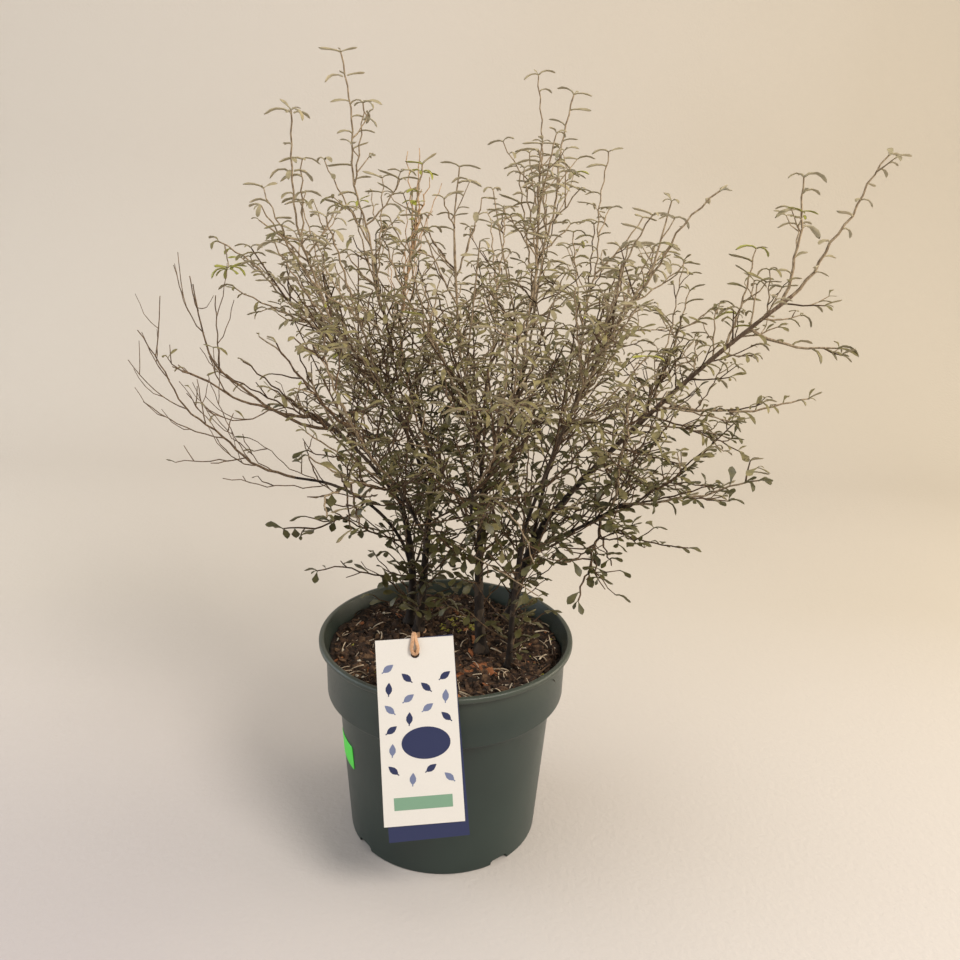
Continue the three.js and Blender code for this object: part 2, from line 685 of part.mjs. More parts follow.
// Price label: a thin band round the body, cut to its width.
function labelSolid() {
  const radiusAt = (height) => (
    THREE.MathUtils.mapLinear(height, 1, LEDGE_TOP - LEDGE_HEIGHT, BASE_RADIUS, BODY_RADIUS));
  const bottom = LABEL_MIDDLE_HEIGHT - LABEL_HEIGHT / 2;
  const top = LABEL_MIDDLE_HEIGHT + LABEL_HEIGHT / 2;
  const band = solidFrom(turned([
    [radiusAt(bottom) + GAP, bottom],
    [radiusAt(bottom) + GAP + LABEL_THICKNESS, bottom],
    [radiusAt(top) + GAP + LABEL_THICKNESS, top],
    [radiusAt(top) + GAP, top],
    [radiusAt(bottom) + GAP, bottom],
  ]));
  const window = new THREE.BoxGeometry(BODY_RADIUS, LABEL_WIDTH, LABEL_HEIGHT * 2);
  window.translate(BODY_RADIUS, 0, LABEL_MIDDLE_HEIGHT);
  window.rotateZ(THREE.MathUtils.degToRad(LABEL_AZIMUTH));
  return band.intersect(solidFrom(window));
}
addNode('price_label', geometryFrom(oneBody(labelSolid())), 'label');

export default shrub;
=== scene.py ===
# %% [markdown]
# # A corokia shrub in its nursery pot
# Corokia is a wiry evergreen. Its stems fork at wide angles, zigzag a little at
# every leaf and carry narrow olive leaves with silvery undersides. The packed
# model already holds the pot, the hang tag, the stems, the boughs and one simple
# body for each mass of foliage. This script dresses them: bark on the limbs,
# fine twigs and thousands of leaves in place of the masses, peat in the pot and
# print on the tag.

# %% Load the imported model
import json
import math

import bmesh
import bpy
import numpy as np
from mathutils import Matrix, Vector, noise

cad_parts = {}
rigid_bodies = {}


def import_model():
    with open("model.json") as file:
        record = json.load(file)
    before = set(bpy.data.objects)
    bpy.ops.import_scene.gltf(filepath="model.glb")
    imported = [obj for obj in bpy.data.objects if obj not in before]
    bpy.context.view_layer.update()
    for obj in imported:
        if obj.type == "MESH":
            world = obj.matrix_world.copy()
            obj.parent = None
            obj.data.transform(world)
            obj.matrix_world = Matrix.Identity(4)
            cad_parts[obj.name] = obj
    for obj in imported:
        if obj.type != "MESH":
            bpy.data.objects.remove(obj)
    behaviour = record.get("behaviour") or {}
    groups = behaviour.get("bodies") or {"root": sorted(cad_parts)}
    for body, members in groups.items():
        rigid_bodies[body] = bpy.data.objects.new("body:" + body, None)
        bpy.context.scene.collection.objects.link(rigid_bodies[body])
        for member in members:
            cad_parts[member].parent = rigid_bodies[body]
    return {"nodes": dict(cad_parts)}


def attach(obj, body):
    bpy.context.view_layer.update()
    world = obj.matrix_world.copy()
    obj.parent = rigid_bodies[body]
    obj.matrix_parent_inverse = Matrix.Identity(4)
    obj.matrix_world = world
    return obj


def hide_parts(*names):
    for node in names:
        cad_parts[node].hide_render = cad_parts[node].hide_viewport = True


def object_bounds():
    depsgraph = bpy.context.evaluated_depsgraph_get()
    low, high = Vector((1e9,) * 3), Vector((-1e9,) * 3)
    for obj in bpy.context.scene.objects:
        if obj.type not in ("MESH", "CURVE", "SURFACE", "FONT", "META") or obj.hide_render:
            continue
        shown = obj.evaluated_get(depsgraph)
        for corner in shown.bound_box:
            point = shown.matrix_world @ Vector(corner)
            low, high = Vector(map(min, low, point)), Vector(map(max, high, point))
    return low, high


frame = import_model()
cad_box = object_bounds()
MM = 0.001
print("nodes", len(frame["nodes"]), "box", [[round(c, 3) for c in corner] for corner in cad_box])

# %% [markdown]
# ## The camera
# The picture was taken from a little above the pot's rim, looking down about
# nineteen degrees, with the camera rolled slightly. The lens is given by its
# focal length in pixels, because the picture is 960 pixels square: 960 pixels on
# a 36 mm sensor is a 36 mm lens.

# %% Place the camera
PHOTO_SIDE = 960
FOCAL_PIXELS = 960
SENSOR = 36.0
CAMERA_PLACE = Vector((19.6, -578.5, 453.8)) * MM
CAMERA_PITCH = math.radians(19.07)
CAMERA_ROLL = math.radians(1.73)


def in_scene(name, data):
    made = bpy.data.objects.new(name, data)
    bpy.context.scene.collection.objects.link(made)
    return made


lens = bpy.data.cameras.new("camera")
lens.sensor_width = SENSOR
lens.lens = SENSOR * FOCAL_PIXELS / PHOTO_SIDE
camera = in_scene("camera", lens)
level_up = Vector((0, math.sin(CAMERA_PITCH), math.cos(CAMERA_PITCH)))
forward = Vector((0, math.cos(CAMERA_PITCH), -math.sin(CAMERA_PITCH)))
right = Vector((math.cos(CAMERA_ROLL), 0, 0)) + level_up * math.sin(CAMERA_ROLL)
up = level_up * math.cos(CAMERA_ROLL) - Vector((math.sin(CAMERA_ROLL), 0, 0))
turn = Matrix((right, up, -forward)).transposed().to_4x4()
camera.matrix_world = Matrix.Translation(CAMERA_PLACE) @ turn
bpy.context.scene.camera = camera
print("lens", round(lens.lens, 1), "mm")

# %% [markdown]
# ## Node graphs from Python expressions
# A finish is easier to read as `base + speckle * 0.2` than as a list of Math
# nodes. `Wire` stands for one socket, and each arithmetic sign used on it adds
# the Math node that does the sum. `Graph.node` makes any other node from its
# type, its settings and its sockets. The same two classes serve the materials
# and the Geometry Nodes below.

# %% Wires and graphs
class Wire:
    """One socket of a node tree. Arithmetic on it adds Math nodes."""

    def __init__(self, graph, socket):
        self.graph = graph
        self.socket = socket

    def __getitem__(self, name):
        return Wire(self.graph, self.socket.node.outputs[name])

    def math(self, operation, other):
        return self.graph.node("ShaderNodeMath", {"operation": operation}, {0: self, 1: other})

    def __add__(self, other):
        return self.math("ADD", other)

    def __sub__(self, other):
        return self.math("SUBTRACT", other)

    def __mul__(self, other):
        return self.math("MULTIPLY", other)

    def over(self, limit):
        return self.math("GREATER_THAN", limit)

    __radd__ = __add__


class Graph:
    """A node tree that is built from Python."""

    def __init__(self, tree):
        self.tree = tree

    def node(self, kind, settings=None, sockets=None):
        made = self.tree.nodes.new(kind)
        for name, value in (settings or {}).items():
            if name == "stops":
                self.set_stops(made.color_ramp, value)
            else:
                setattr(made, name, value)
        for name, value in (sockets or {}).items():
            self.feed(made.inputs[name], value)
        return Wire(self, made.outputs[0]) if made.outputs else made

    def stored(self, kind, name):
        return self.node("GeometryNodeInputNamedAttribute", {"data_type": kind}, {"Name": name})

    def feed(self, socket, value):
        if isinstance(value, Wire):
            self.tree.links.new(value.socket, socket)
        elif socket.type == "RGBA" and len(value) == 3:
            socket.default_value = (*value, 1)
        else:
            socket.default_value = value

    def set_stops(self, ramp, stops):
        while len(ramp.elements) < len(stops):
            ramp.elements.new(1)
        for element, (place, colour) in zip(ramp.elements, stops):
            element.position = place
            element.color = (*colour, 1)


print("graph helpers ready")

# %% [markdown]
# ## Finishes
# Every finish reads Object coordinates, which on these pieces are metres in the
# model's own frame, so a speckle keeps its real size. Colours are written as
# they look on a screen and turned to light values once, by `seen`.

# %% What all the finishes share
def seen(*screen):
    """A screen colour, 0 to 255, as the light value that a shader needs."""
    shares = [c / 255 for c in screen]
    return tuple(c / 12.92 if c < 0.0404 else ((c + 0.055) / 1.055) ** 2.4 for c in shares)


class Finish(Graph):
    """A material with one Principled shader, and the patterns that finishes use."""

    def __init__(self, name, roughness=0.6, **constants):
        self.material = bpy.data.materials.new(name)
        self.material.use_nodes = True
        super().__init__(self.material.node_tree)
        self.shader = self.tree.nodes["Principled BSDF"]
        self.shader.inputs["Roughness"].default_value = roughness
        for socket, value in constants.items():
            self.shader.inputs[socket.replace("_", " ")].default_value = value
        self.place = self.node("ShaderNodeTexCoord")["Object"]

    def along(self, axis):
        return self.node("ShaderNodeSeparateXYZ", {}, {"Vector": self.place})[axis]

    def stretched(self, stretch):
        return self.node("ShaderNodeMapping", {}, {"Vector": self.place, "Scale": stretch})

    def noise(self, scale, detail=3, stretch=(1, 1, 1)):
        sockets = {"Vector": self.stretched(stretch), "Scale": scale, "Detail": detail}
        return self.node("ShaderNodeTexNoise", {}, sockets)

    def cracks(self, scale, stretch):
        sockets = {"Vector": self.stretched(stretch), "Scale": scale}
        return self.node("ShaderNodeTexVoronoi", {"feature": "DISTANCE_TO_EDGE"}, sockets)

    def ramp(self, value, *stops):
        return self.node("ShaderNodeValToRGB", {"stops": stops}, {"Fac": value})

    def blend(self, share, one, other):
        mix = self.node("ShaderNodeMix", {"data_type": "RGBA"}, {"Factor": share})
        node = mix.socket.node
        self.feed(node.inputs[6], one)
        self.feed(node.inputs[7], other)
        return Wire(self, node.outputs[2])

    def surface(self, colour=None, roughness=None, height=None, depth=0.0005):
        if colour is not None:
            self.feed(self.shader.inputs["Base Color"], colour)
        if roughness is not None:
            self.feed(self.shader.inputs["Roughness"], roughness)
        if height is not None:
            bump = self.node("ShaderNodeBump", {}, {"Height": height, "Distance": depth})
            self.feed(self.shader.inputs["Normal"], bump)
        return self.material


print("finish helpers ready")

# %% [markdown]
# ### Bark, twigs and leaves
# The bark of the stems is thin, very dark brown and cracked lengthwise, and
# higher up it is paler and greyer. Twigs go from brown to a dry grey tan. A leaf
# is olive or grey-green above and felted silver below; each tint is one plain
# colour with a soft mottle, dealt out by the spray.

# %% Plant finishes
def bark_finish():
    bark = Finish("bark_dark_brown", 0.85)
    grain = bark.noise(900, 4, (1, 1, 0.25))
    cracks = bark.cracks(420, (1, 1, 0.3))
    patches = bark.noise(70, 2)
    low = bark.ramp(grain, (0.3, seen(18, 10, 5)), (0.64, seen(37, 25, 16)), (0.84, seen(68, 53, 38)))
    high = bark.ramp(grain, (0.3, seen(76, 57, 44)), (0.55, seen(114, 93, 74)), (0.75, seen(152, 132, 110)))
    wood = bark.blend((bark.along("Z") - 0.24) * 7, low, high)
    aged = bark.blend(patches.over(0.56) * 0.4, wood, seen(96, 81, 66))
    return bark.surface(aged, 0.75 + grain * 0.2, grain * 0.5 + cracks, 0.0006)


def twig_finish(name, dark, middle, pale):
    twig = Finish(name, 0.8)
    streaks = twig.noise(700, 3, (1, 1, 0.5))
    colour = twig.ramp(streaks, (0.3, dark), (0.52, middle), (0.75, pale))
    return twig.surface(colour, None, streaks, 0.0002)


def leaf_finish(name, colour, spread, roughness=0.62):
    """One colour with a mottle, darker and paler by the same share."""
    leaf = Finish(name, roughness)
    mottle = leaf.noise(260, 2)
    darker = tuple(c * (1 - spread) for c in colour)
    paler = tuple(min(c * (1 + spread), 1) for c in colour)
    return leaf.surface(leaf.ramp(mottle, (0.3, darker), (0.7, paler)), None, leaf.noise(1500), 0.0001)


BARK = bark_finish()
TWIG_FINISHES = {
    "brown": twig_finish("twig_brown", seen(44, 29, 13), seen(76, 55, 34), seen(116, 91, 63)),
    "grey": twig_finish("twig_grey_tan", seen(102, 85, 66), seen(142, 123, 98), seen(178, 161, 135)),
    "bare": twig_finish("twig_bare", seen(70, 53, 37), seen(102, 82, 60), seen(144, 122, 96)),
    "dry": twig_finish("twig_dry_tan", seen(146, 114, 84), seen(180, 146, 110), seen(204, 176, 142)),
}
LEAF_TOPS = {
    "olive": leaf_finish("leaf_olive", seen(111, 102, 64), 0.4),
    "grey": leaf_finish("leaf_grey_green", seen(142, 131, 101), 0.24),
    "dark": leaf_finish("leaf_dark_green", seen(67, 63, 28), 0.38, 0.5),
    "lime": leaf_finish("leaf_lime", seen(146, 146, 58), 0.25, 0.5),
}
LEAF_UNDERSIDES = {
    "olive": leaf_finish("underside_olive", seen(158, 147, 119), 0.15, 0.8),
    "grey": leaf_finish("underside_grey", seen(178, 168, 142), 0.12, 0.8),
    "dark": leaf_finish("underside_dark", seen(112, 106, 72), 0.15, 0.75),
    "lime": leaf_finish("underside_lime", seen(160, 158, 92), 0.12, 0.7),
}
print("plant finishes", len(TWIG_FINISHES) + 2 * len(LEAF_TOPS) + 1)

# %% [markdown]
# ### Pot, peat, card and elastic
# The pot is moulded in dark grey-green plastic with a satin skin, duller where
# it has been handled. Peat is nearly black when moist, with tan fibres and
# orange bark in it. The tag is smooth coated card.

# %% Other finishes
def pot_finish():
    pot = Finish("pot_plastic_green", 0.5)
    cloud = pot.noise(14, 3)
    grain = pot.noise(2600, 2)
    rubs = pot.noise(40, 4, (1, 1, 0.4))
    colour = pot.ramp(cloud, (0.3, seen(30, 44, 41)), (0.7, seen(39, 54, 50)))
    # Above 120 mm the colour is blended towards a paler tan in soft vertical streaks, more so towards the
    # lip.
    paler_top_streaks = pot.blend((pot.along("Z") - 0.12) * 14 * rubs, colour, seen(104, 102, 86))
    return pot.surface(paler_top_streaks, 0.24 + rubs * 0.24, grain, 0.00015)


def speckled_finish(name, colours, scale, roughness, depth):
    speckled = Finish(name, roughness)
    patches = speckled.noise(scale, 4)
    steps = [(0.28 + 0.44 * i / (len(colours) - 1), colour) for i, colour in enumerate(colours)]
    return speckled.surface(speckled.ramp(patches, *steps), None, patches, depth)


def card_finish(name, colour, roughness):
    card = Finish(name, roughness, Coat_Weight=0.15, Coat_Roughness=0.4)
    fibres = card.noise(1800, 2)
    shade = card.ramp(fibres, (0.3, tuple(c * 0.96 for c in colour)), (0.7, colour))
    return card.surface(shade, None, fibres, 0.00003)


POT = pot_finish()
PEAT = speckled_finish("peat", [seen(12, 6, 2), seen(34, 21, 12), seen(70, 50, 34)], 330, 0.95, 0.0012)
CRUMB = speckled_finish("peat_crumb", [seen(20, 11, 5), seen(59, 39, 25), seen(112, 86, 62)],
                        260, 0.9, 0.0004)
CHIP = speckled_finish("bark_chip", [seen(96, 56, 32), seen(140, 84, 48), seen(160, 112, 74)],
                       240, 0.85, 0.0003)
FIBRE = speckled_finish("peat_fibre", [seen(136, 116, 94), seen(184, 166, 142), seen(222, 208, 186)],
                        200, 0.8, 0.0002)
PERLITE = speckled_finish("perlite", [seen(176, 166, 148), seen(214, 206, 190)], 500, 0.9, 0.0003)
MOSS = speckled_finish("moss_crumb", [seen(112, 108, 36), seen(176, 168, 78)], 300, 0.9, 0.0004)
CARD_WHITE = card_finish("card_white", seen(226, 223, 219), 0.45)
CARD_NAVY = card_finish("card_navy", seen(32, 42, 84), 0.45)
CARD_SAGE = card_finish("card_sage", seen(122, 160, 136), 0.5)
CARD_SLATE = card_finish("card_slate", seen(112, 122, 156), 0.5)
ELASTIC = speckled_finish("elastic_beige", [seen(176, 132, 98), seen(214, 172, 136)], 900, 0.6, 0.0002)
LABEL = card_finish("label_green", seen(70, 216, 62), 0.5)
print("other finishes ready")

# %% [markdown]
# ## Meshes from arrays
# Most pieces are worked out as arrays of points and faces, in millimetres like
# the sizes on the real object, and scaled to metres when the mesh is made.
# Turned bodies, limbs, fibres, leaves and flat print are all rings of points one
# after another, so `tube_faces` serves them all. `keep` finishes a piece: it
# rides on the model's one body, hides the imported nodes it stands for and
# counts its triangles.

# %% Mesh helpers
counts = {}


def mesh_piece(name, points, faces, finish, smooth=True):
    mesh = bpy.data.meshes.new(name)
    places = np.asarray(points, float) * MM
    mesh.from_pydata(places.tolist(), [], [list(map(int, face)) for face in faces])
    mesh.polygons.foreach_set("use_smooth", [smooth] * len(mesh.polygons))
    mesh.materials.append(finish)
    return in_scene(name, mesh)


def evaluated_mesh(thing):
    graph = bpy.context.evaluated_depsgraph_get()
    return bpy.data.meshes.new_from_object(thing.evaluated_get(graph))


def keep(piece, slot, *nodes):
    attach(piece, "root")
    if nodes:
        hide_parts(*nodes)
    piece.data.calc_loop_triangles()
    counts[piece.name] = len(piece.data.loop_triangles)


def face_outwards(piece):
    body = bmesh.new()
    body.from_mesh(piece.data)
    bmesh.ops.remove_doubles(body, verts=body.verts, dist=1e-7)
    bmesh.ops.recalc_face_normals(body, faces=body.faces)
    body.to_mesh(piece.data)
    body.free()


def tube_faces(rings, sides, closed=False):
    """Quads between rings of points, with a cap at both ends unless it closes on itself."""
    faces = []
    for i in range(rings if closed else rings - 1):
        low, high = i * sides, (i + 1) % rings * sides
        for s in range(sides):
            n = (s + 1) % sides
            faces.append((low + s, low + n, high + n, high + s))
    if not closed:
        faces += [tuple(range(sides))[::-1], tuple(range((rings - 1) * sides, rings * sides))]
    return faces


def turned(outline, segments):
    """A closed outline of (radius, height) turned round +Z; it starts and ends on the axis."""
    angles = np.arange(segments) * 2 * math.pi / segments
    rings = outline[1:-1]
    points = [(r * math.cos(a), r * math.sin(a), z) for r, z in rings for a in angles]
    faces = tube_faces(len(rings), segments)[:-2]  # without the flat caps
    low, high = len(points), len(points) + 1
    top = (len(rings) - 1) * segments
    for s in range(segments):
        n = (s + 1) % segments
        faces += [(low, n, s), (top + s, top + n, high)]
    return points + [(0, 0, outline[0][1]), (0, 0, outline[-1][1])], faces


def joined(shapes):
    """Several (points, faces) as one."""
    points, faces = [], []
    for more_points, more_faces in shapes:
        shift = len(points)
        points += list(more_points)
        faces += [tuple(i + shift for i in face) for face in more_faces]
    return points, faces


def rotated(outline, degrees):
    """Flat points turned to the left round their origin."""
    c, s = math.cos(math.radians(degrees)), math.sin(math.radians(degrees))
    return [(c * u - s * v, s * u + c * v) for u, v in outline]


def unit(vector):
    return np.asarray(vector, float) / np.linalg.norm(vector)


print("mesh helpers ready")

# %% [markdown]
# ## The growth rule
# The model's limbs and masses follow one rule, and the fine growth here follows
# it again. A limb is a row of sizes: where it starts on its host, its azimuth
# and rise at both ends, its length and its thickness. Its centre line is an arc.
# The leader of a mass adds a small zigzag, and side twigs turn round it by the
# golden angle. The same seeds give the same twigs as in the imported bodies.

# %% Sizes of the rule, in millimetres and degrees
SOIL_TOP = 135
POT_HEIGHT = 145
GAP = 0.3
ARC_STEPS = 5
KINK = 6
LEADER_RADIUS = 1.35
LEADER_TIP_RADIUS = 0.75
LEADER_TO_HOST = 1.1
TWIG_RADIUS = 0.6
TWIG_SPACING = 20
GOLDEN_ANGLE = 137.5
ROLL_PLAY = 50
REACH_SHARE = (0.75, 1.25)
SHORTER_TRIES = (1, 0.75, 0.5)
TESTED_PLACES = (0.5, 0.75, 1)
SPACE_MARGIN = 1.4
LIMB_MARGIN = 0.8
LOWEST_TWIG = POT_HEIGHT + 8
CARD_HEIGHT = 114.7
CARD_MIDDLE = np.array((-11.6, -91.5, 126.6))
TAG_TOP = CARD_MIDDLE[2] + CARD_HEIGHT / 2 + 8
TAG_RIGHT = 20
TAG_BACK = -45
FULL_TURN = 6.3
# For each kind of growth: where on its host it starts and ends, its angle from
# the host, how much shorter it gets towards the host's tip, and its lift.
FORKS = {
    "side": (0.08, 0.94, (38, 62), 0.72, 0.35),
    "fine": (0.08, 0.58, (38, 62), 0.72, 0.35),
    "on_twig": (0.15, 0.94, (38, 62), 0.72, 0.35),
    "on_shoot": (0.1, 0.58, (38, 62), 0.72, 0.35),
    "on_free_shoot": (0.2, 0.94, (38, 62), 0.72, 0.35),
    "shoot": (0.04, 0.6, (8, 32), 0.9, 0.1),
    "bare": (0.08, 0.94, (18, 45), 0.72, 0.5),
    "on_bare": (0.15, 0.85, (18, 45), 0.4, 0.5),
    "on_stem": (0.36, 0.97, (40, 75), 0.2, 0.35),
    "on_bough": (0.1, 0.97, (40, 75), 0.2, 0.35),
    "low": (0.04, 0.5, (45, 85), 0.2, 0.35),
    "middle": (0.4, 0.97, (18, 58), 0.3, 0.35),
    "dry": (0.05, 0.75, (4, 18), 0.4, 0),
}
print("kinds of growth", len(FORKS))

# %% Rows: stems, boughs and masses
STEMS = [
    ("stem_left_back", (-27, 31), (-178, -170), (97, 75), 90, (2.3, 1.7)),
    ("stem_left_front", (-20, 20), (-14, -16), (85, 87), 119, (2.3, 1.6)),
    ("stem_centre", (24, -9), (129, 64), (81, 82), 111, (2.7, 1.8)),
    ("stem_right", (44, 42), (-14, -8), (83, 65), 81, (3.0, 2.3)),
    ("stem_thin", (42, -26), (38, 32), (90, 81), 95, (1.4, 1.3)),
]
BOUGHS = [
    ("bough_low_left", "stem_left_back", 0.43, (-169, -176), (81, 3), 113, (1.4, 0.9)),
    ("bough_left", "stem_left_back", 1, (-156, -161), (59, 41), 85, (1.6, 1.0)),
    ("bough_back_left", "stem_left_back", 0.79, (107, 121), (48, 45), 71, (1.4, 0.9)),
    ("bough_upper_left", "stem_left_front", 0.82, (145, 159), (72, 48), 89, (1.4, 0.9)),
    ("bough_left_shoot", "stem_left_front", 1, (-142, -143), (60, 54), 87, (1.3, 0.9)),
    ("bough_tall_left", "stem_left_front", 1, (169, 171), (78, 70), 82, (1.4, 0.9)),
    ("bough_front_left", "stem_left_front", 0.57, (-108, -108), (50, 45), 81, (1.4, 0.9)),
    ("bough_mid", "stem_centre", 1, (-128, -131), (78, 74), 71, (1.4, 0.9)),
    ("bough_centre_shoot", "stem_centre", 1, (4, 5), (71, 77), 92, (1.6, 0.9)),
    ("bough_front", "stem_centre", 0.61, (-109, -81), (52, 49), 83, (1.4, 0.9)),
    ("bough_back", "stem_centre", 0.82, (94, 82), (40, 44), 82, (1.5, 0.9)),
    ("bough_inner_right", "stem_right", 0.69, (54, 39), (77, 69), 95, (1.5, 0.9)),
    ("bough_right_shoot", "stem_thin", 1, (-29, -28), (73, 69), 98, (1.3, 0.9)),
    ("bough_far_right", "stem_right", 1, (-15, -16), (55, 43), 216, (2.2, 1.3)),
    ("bough_low_right", "stem_right", 0.69, (-43, -54), (34, 39), 98, (1.6, 1.0)),
]
# Name, host, place on the host, azimuth, rise, length, spread of its twigs, leafy share.
MASSES = [
    ("bare_low_left", "bough_low_left", 1, (-174, -162), (23, 74), 140, 62, 0),
    ("sprig_low_left", "bough_low_left", 0.56, (-141, -138), (-29, 24), 66, 26, 0.6),
    ("bare_left", "bough_left", 1, (-180, -128), (4, 96), 125, 62, 0),
    ("bare_left_lower", "bough_left", 0.84, (-154, -140), (21, 35), 114, 45, 0.15),
    ("crown_left", "bough_left", 0.73, (162, 168), (61, 36), 86, 56, 1),
    ("shoot_lime_left", "bough_upper_left", 1, (176, 176), (45, 39), 130, 50, 1),
    ("crown_upper_left", "bough_upper_left", 0.82, (127, 147), (29, 80), 155, 50, 1),
    ("crown_back_left", "bough_back_left", 1, (133, 114), (47, 59), 170, 58, 1),
    ("shoot_left", "bough_left_shoot", 1, (-178, -68), (54, 84), 157, 50, 1),
    ("crown_left_inner", "bough_left_shoot", 0.85, (-104, -114), (53, 61), 124, 52, 1),
    ("shoot_tall_left", "bough_tall_left", 1, (-174, -155), (72, 88), 175, 50, 1),
    ("shoot_lime_centre", "bough_tall_left", 0.85, (115, -18), (61, 90), 129, 50, 1),
    ("crown_front_left", "bough_front_left", 1, (-126, -84), (46, 48), 151, 56, 1),
    ("skirt_front_left", "bough_front_left", 0.85, (-137, -78), (29, -6), 112, 45, 1),
    ("crown_mid", "bough_mid", 1, (-149, -69), (77, 80), 134, 50, 1),
    ("crown_mid_left", "bough_mid", 0.78, (-133, -100), (51, 56), 138, 52, 1),
    ("shoot_centre", "bough_centre_shoot", 1, (-64, -144), (89, 84), 161, 50, 1),
    ("shoot_centre_right", "bough_centre_shoot", 0.86, (87, -17), (64, 88), 173, 50, 1),
    ("crown_front", "bough_front", 1, (-67, -91), (54, 46), 157, 58, 1),
    ("crown_back", "bough_back", 1, (84, 82), (51, 55), 168, 60, 1),
    ("low_centre", "stem_centre", 0.55, (-127, -115), (33, 39), 65, 42, 1),
    ("shoot_inner_right", "bough_inner_right", 1, (12, 29), (80, 88), 176, 50, 1),
    ("crown_back_right", "bough_inner_right", 0.84, (49, 46), (49, 44), 168, 60, 1),
    ("shoot_right", "bough_right_shoot", 1, (-20, -14), (70, 52), 133, 50, 1),
    ("crown_right", "bough_right_shoot", 0.82, (-81, -48), (58, 67), 137, 52, 1),
    ("far_right_tip", "bough_far_right", 1, (-12, -18), (59, 69), 92, 34, 1),
    ("far_right_shoot", "bough_far_right", 0.96, (0, 0), (75, 100), 75, 26, 1),
    ("far_right_inner", "bough_far_right", 0.76, (35, 58), (58, 74), 68, 34, 1),
    ("far_right_low", "bough_far_right", 0.86, (-32, -39), (-24, 16), 55, 30, 1),
    ("far_right_under", "bough_far_right", 0.54, (1, 1), (-15, 22), 96, 38, 1),
    ("right_mid", "bough_far_right", 0.42, (28, 53), (55, 73), 97, 54, 1),
    ("low_right_tip", "bough_low_right", 1, (-29, -39), (14, 32), 89, 34, 1),
    ("skirt_right", "bough_low_right", 0.75, (-102, -107), (-19, -7), 86, 42, 1),
    ("crown_front_right", "bough_low_right", 0.85, (-93, -98), (54, 35), 156, 58, 1),
]
print("stems", len(STEMS), "boughs", len(BOUGHS), "masses", len(MASSES))


# %% The rule's own arithmetic
def between(pair, share):
    return pair[0] + (pair[1] - pair[0]) * share


def unit_vector(azimuth, rise):
    azimuth, rise = math.radians(azimuth), math.radians(rise)
    level = math.cos(rise)
    return np.array((level * math.cos(azimuth), level * math.sin(azimuth), math.sin(rise)))


def seeded(seed):
    """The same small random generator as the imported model's, so both draw alike."""
    state = [seed & 0xFFFFFFFF]

    def draw():
        state[0] = (state[0] + 0x6D2B79F5) & 0xFFFFFFFF
        t = state[0]
        t = ((t ^ (t >> 15)) * (t | 1)) & 0xFFFFFFFF
        t ^= (t + (((t ^ (t >> 7)) * (t | 61)) & 0xFFFFFFFF)) & 0xFFFFFFFF
        return ((t ^ (t >> 14)) & 0xFFFFFFFF) / 4294967296

    return draw


def arc_path(start, azimuth, rise, length, kink=0):
    """A line whose heading goes evenly from the first azimuth and rise to the last."""
    points = [np.array(start, float)]
    for i in range(ARC_STEPS):
        t = (i + 0.5) / ARC_STEPS
        zigzag = kink if i % 2 == 0 else -kink
        heading = unit_vector(between(azimuth, t) + zigzag, between(rise, t) - zigzag)
        points.append(points[-1] + heading * length / ARC_STEPS)
    return np.array(points)


def point_along(points, t):
    place = t * (len(points) - 1)
    i = min(int(place), len(points) - 2)
    return points[i] + (points[i + 1] - points[i]) * (place - i)


def direction_along(points, t):
    i = min(int(t * (len(points) - 1)), len(points) - 2)
    return unit(points[i + 1] - points[i])


def square_to(direction):
    level = np.array((1.0, 0, 0)) if abs(direction[2]) > 0.95 else np.array((0, 0, 1.0))
    across = unit(np.cross(level, direction))
    return across, np.cross(direction, across)


def forked_from(direction, fork, roll):
    across, above = square_to(direction)
    fork, roll = math.radians(fork), math.radians(roll)
    side = across * math.cos(roll) + above * math.sin(roll)
    return direction * math.cos(fork) + side * math.sin(fork)


print("the first draw of seed 1 is", round(seeded(1)(), 4))


# %% Centre lines of the limbs and leaders
limbs = {}
for name, foot, azimuth, rise, length, radius in STEMS:
    path = arc_path((*foot, SOIL_TOP + GAP), azimuth, rise, length)
    limbs[name] = {"path": path, "radius": radius, "length": length, "is_stem": True}
for name, host, at, azimuth, rise, length, radius in BOUGHS:
    path = arc_path(point_along(limbs[host]["path"], at), azimuth, rise, length)
    limbs[name] = {"path": path, "radius": radius, "length": length, "is_stem": False}

leaders = {}
for name, host, at, azimuth, rise, length, spread, leafy in MASSES:
    path = arc_path(point_along(limbs[host]["path"], at), azimuth, rise, length, KINK)
    thick = min(between(limbs[host]["radius"], at) * LEADER_TO_HOST, LEADER_RADIUS)
    leaders[name] = {"path": path, "radius": (thick, LEADER_TIP_RADIUS), "length": length,
                     "spread": spread, "leafy": leafy}
print("highest leader tip", round(max(row["path"][-1][2] for row in leaders.values())), "mm")

# %% [markdown]
# ## Room for a twig
# A mass's own space is nearer to its leader than to any other leader. The
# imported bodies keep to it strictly. The finer growth may reach a little over the
# border, as real twigs interlace, but never touches a limb, the tag or the pot.

# %% Distances to paths
class Paths:
    """Many centre lines, and how far a set of points is from each."""

    def __init__(self, paths):
        self.starts = np.concatenate([path[:-1] for path in paths])
        self.spans = np.concatenate([path[1:] - path[:-1] for path in paths])
        self.squares = (self.spans ** 2).sum(1)
        self.firsts = np.cumsum([0] + [len(path) - 1 for path in paths[:-1]])

    def distances(self, points):
        offsets = points[:, None, :] - self.starts
        shares = np.clip((offsets * self.spans).sum(2) / self.squares, 0, 1)
        gaps = np.linalg.norm(offsets - shares[..., None] * self.spans, axis=2)
        return np.minimum.reduceat(gaps, self.firsts, axis=1)


limb_paths = Paths([limb["path"] for limb in limbs.values()])
limb_radii = np.array([limb["radius"][0] for limb in limbs.values()])
leader_paths = Paths([leader["path"] for leader in leaders.values()])
leader_numbers = {name: i for i, name in enumerate(leaders)}


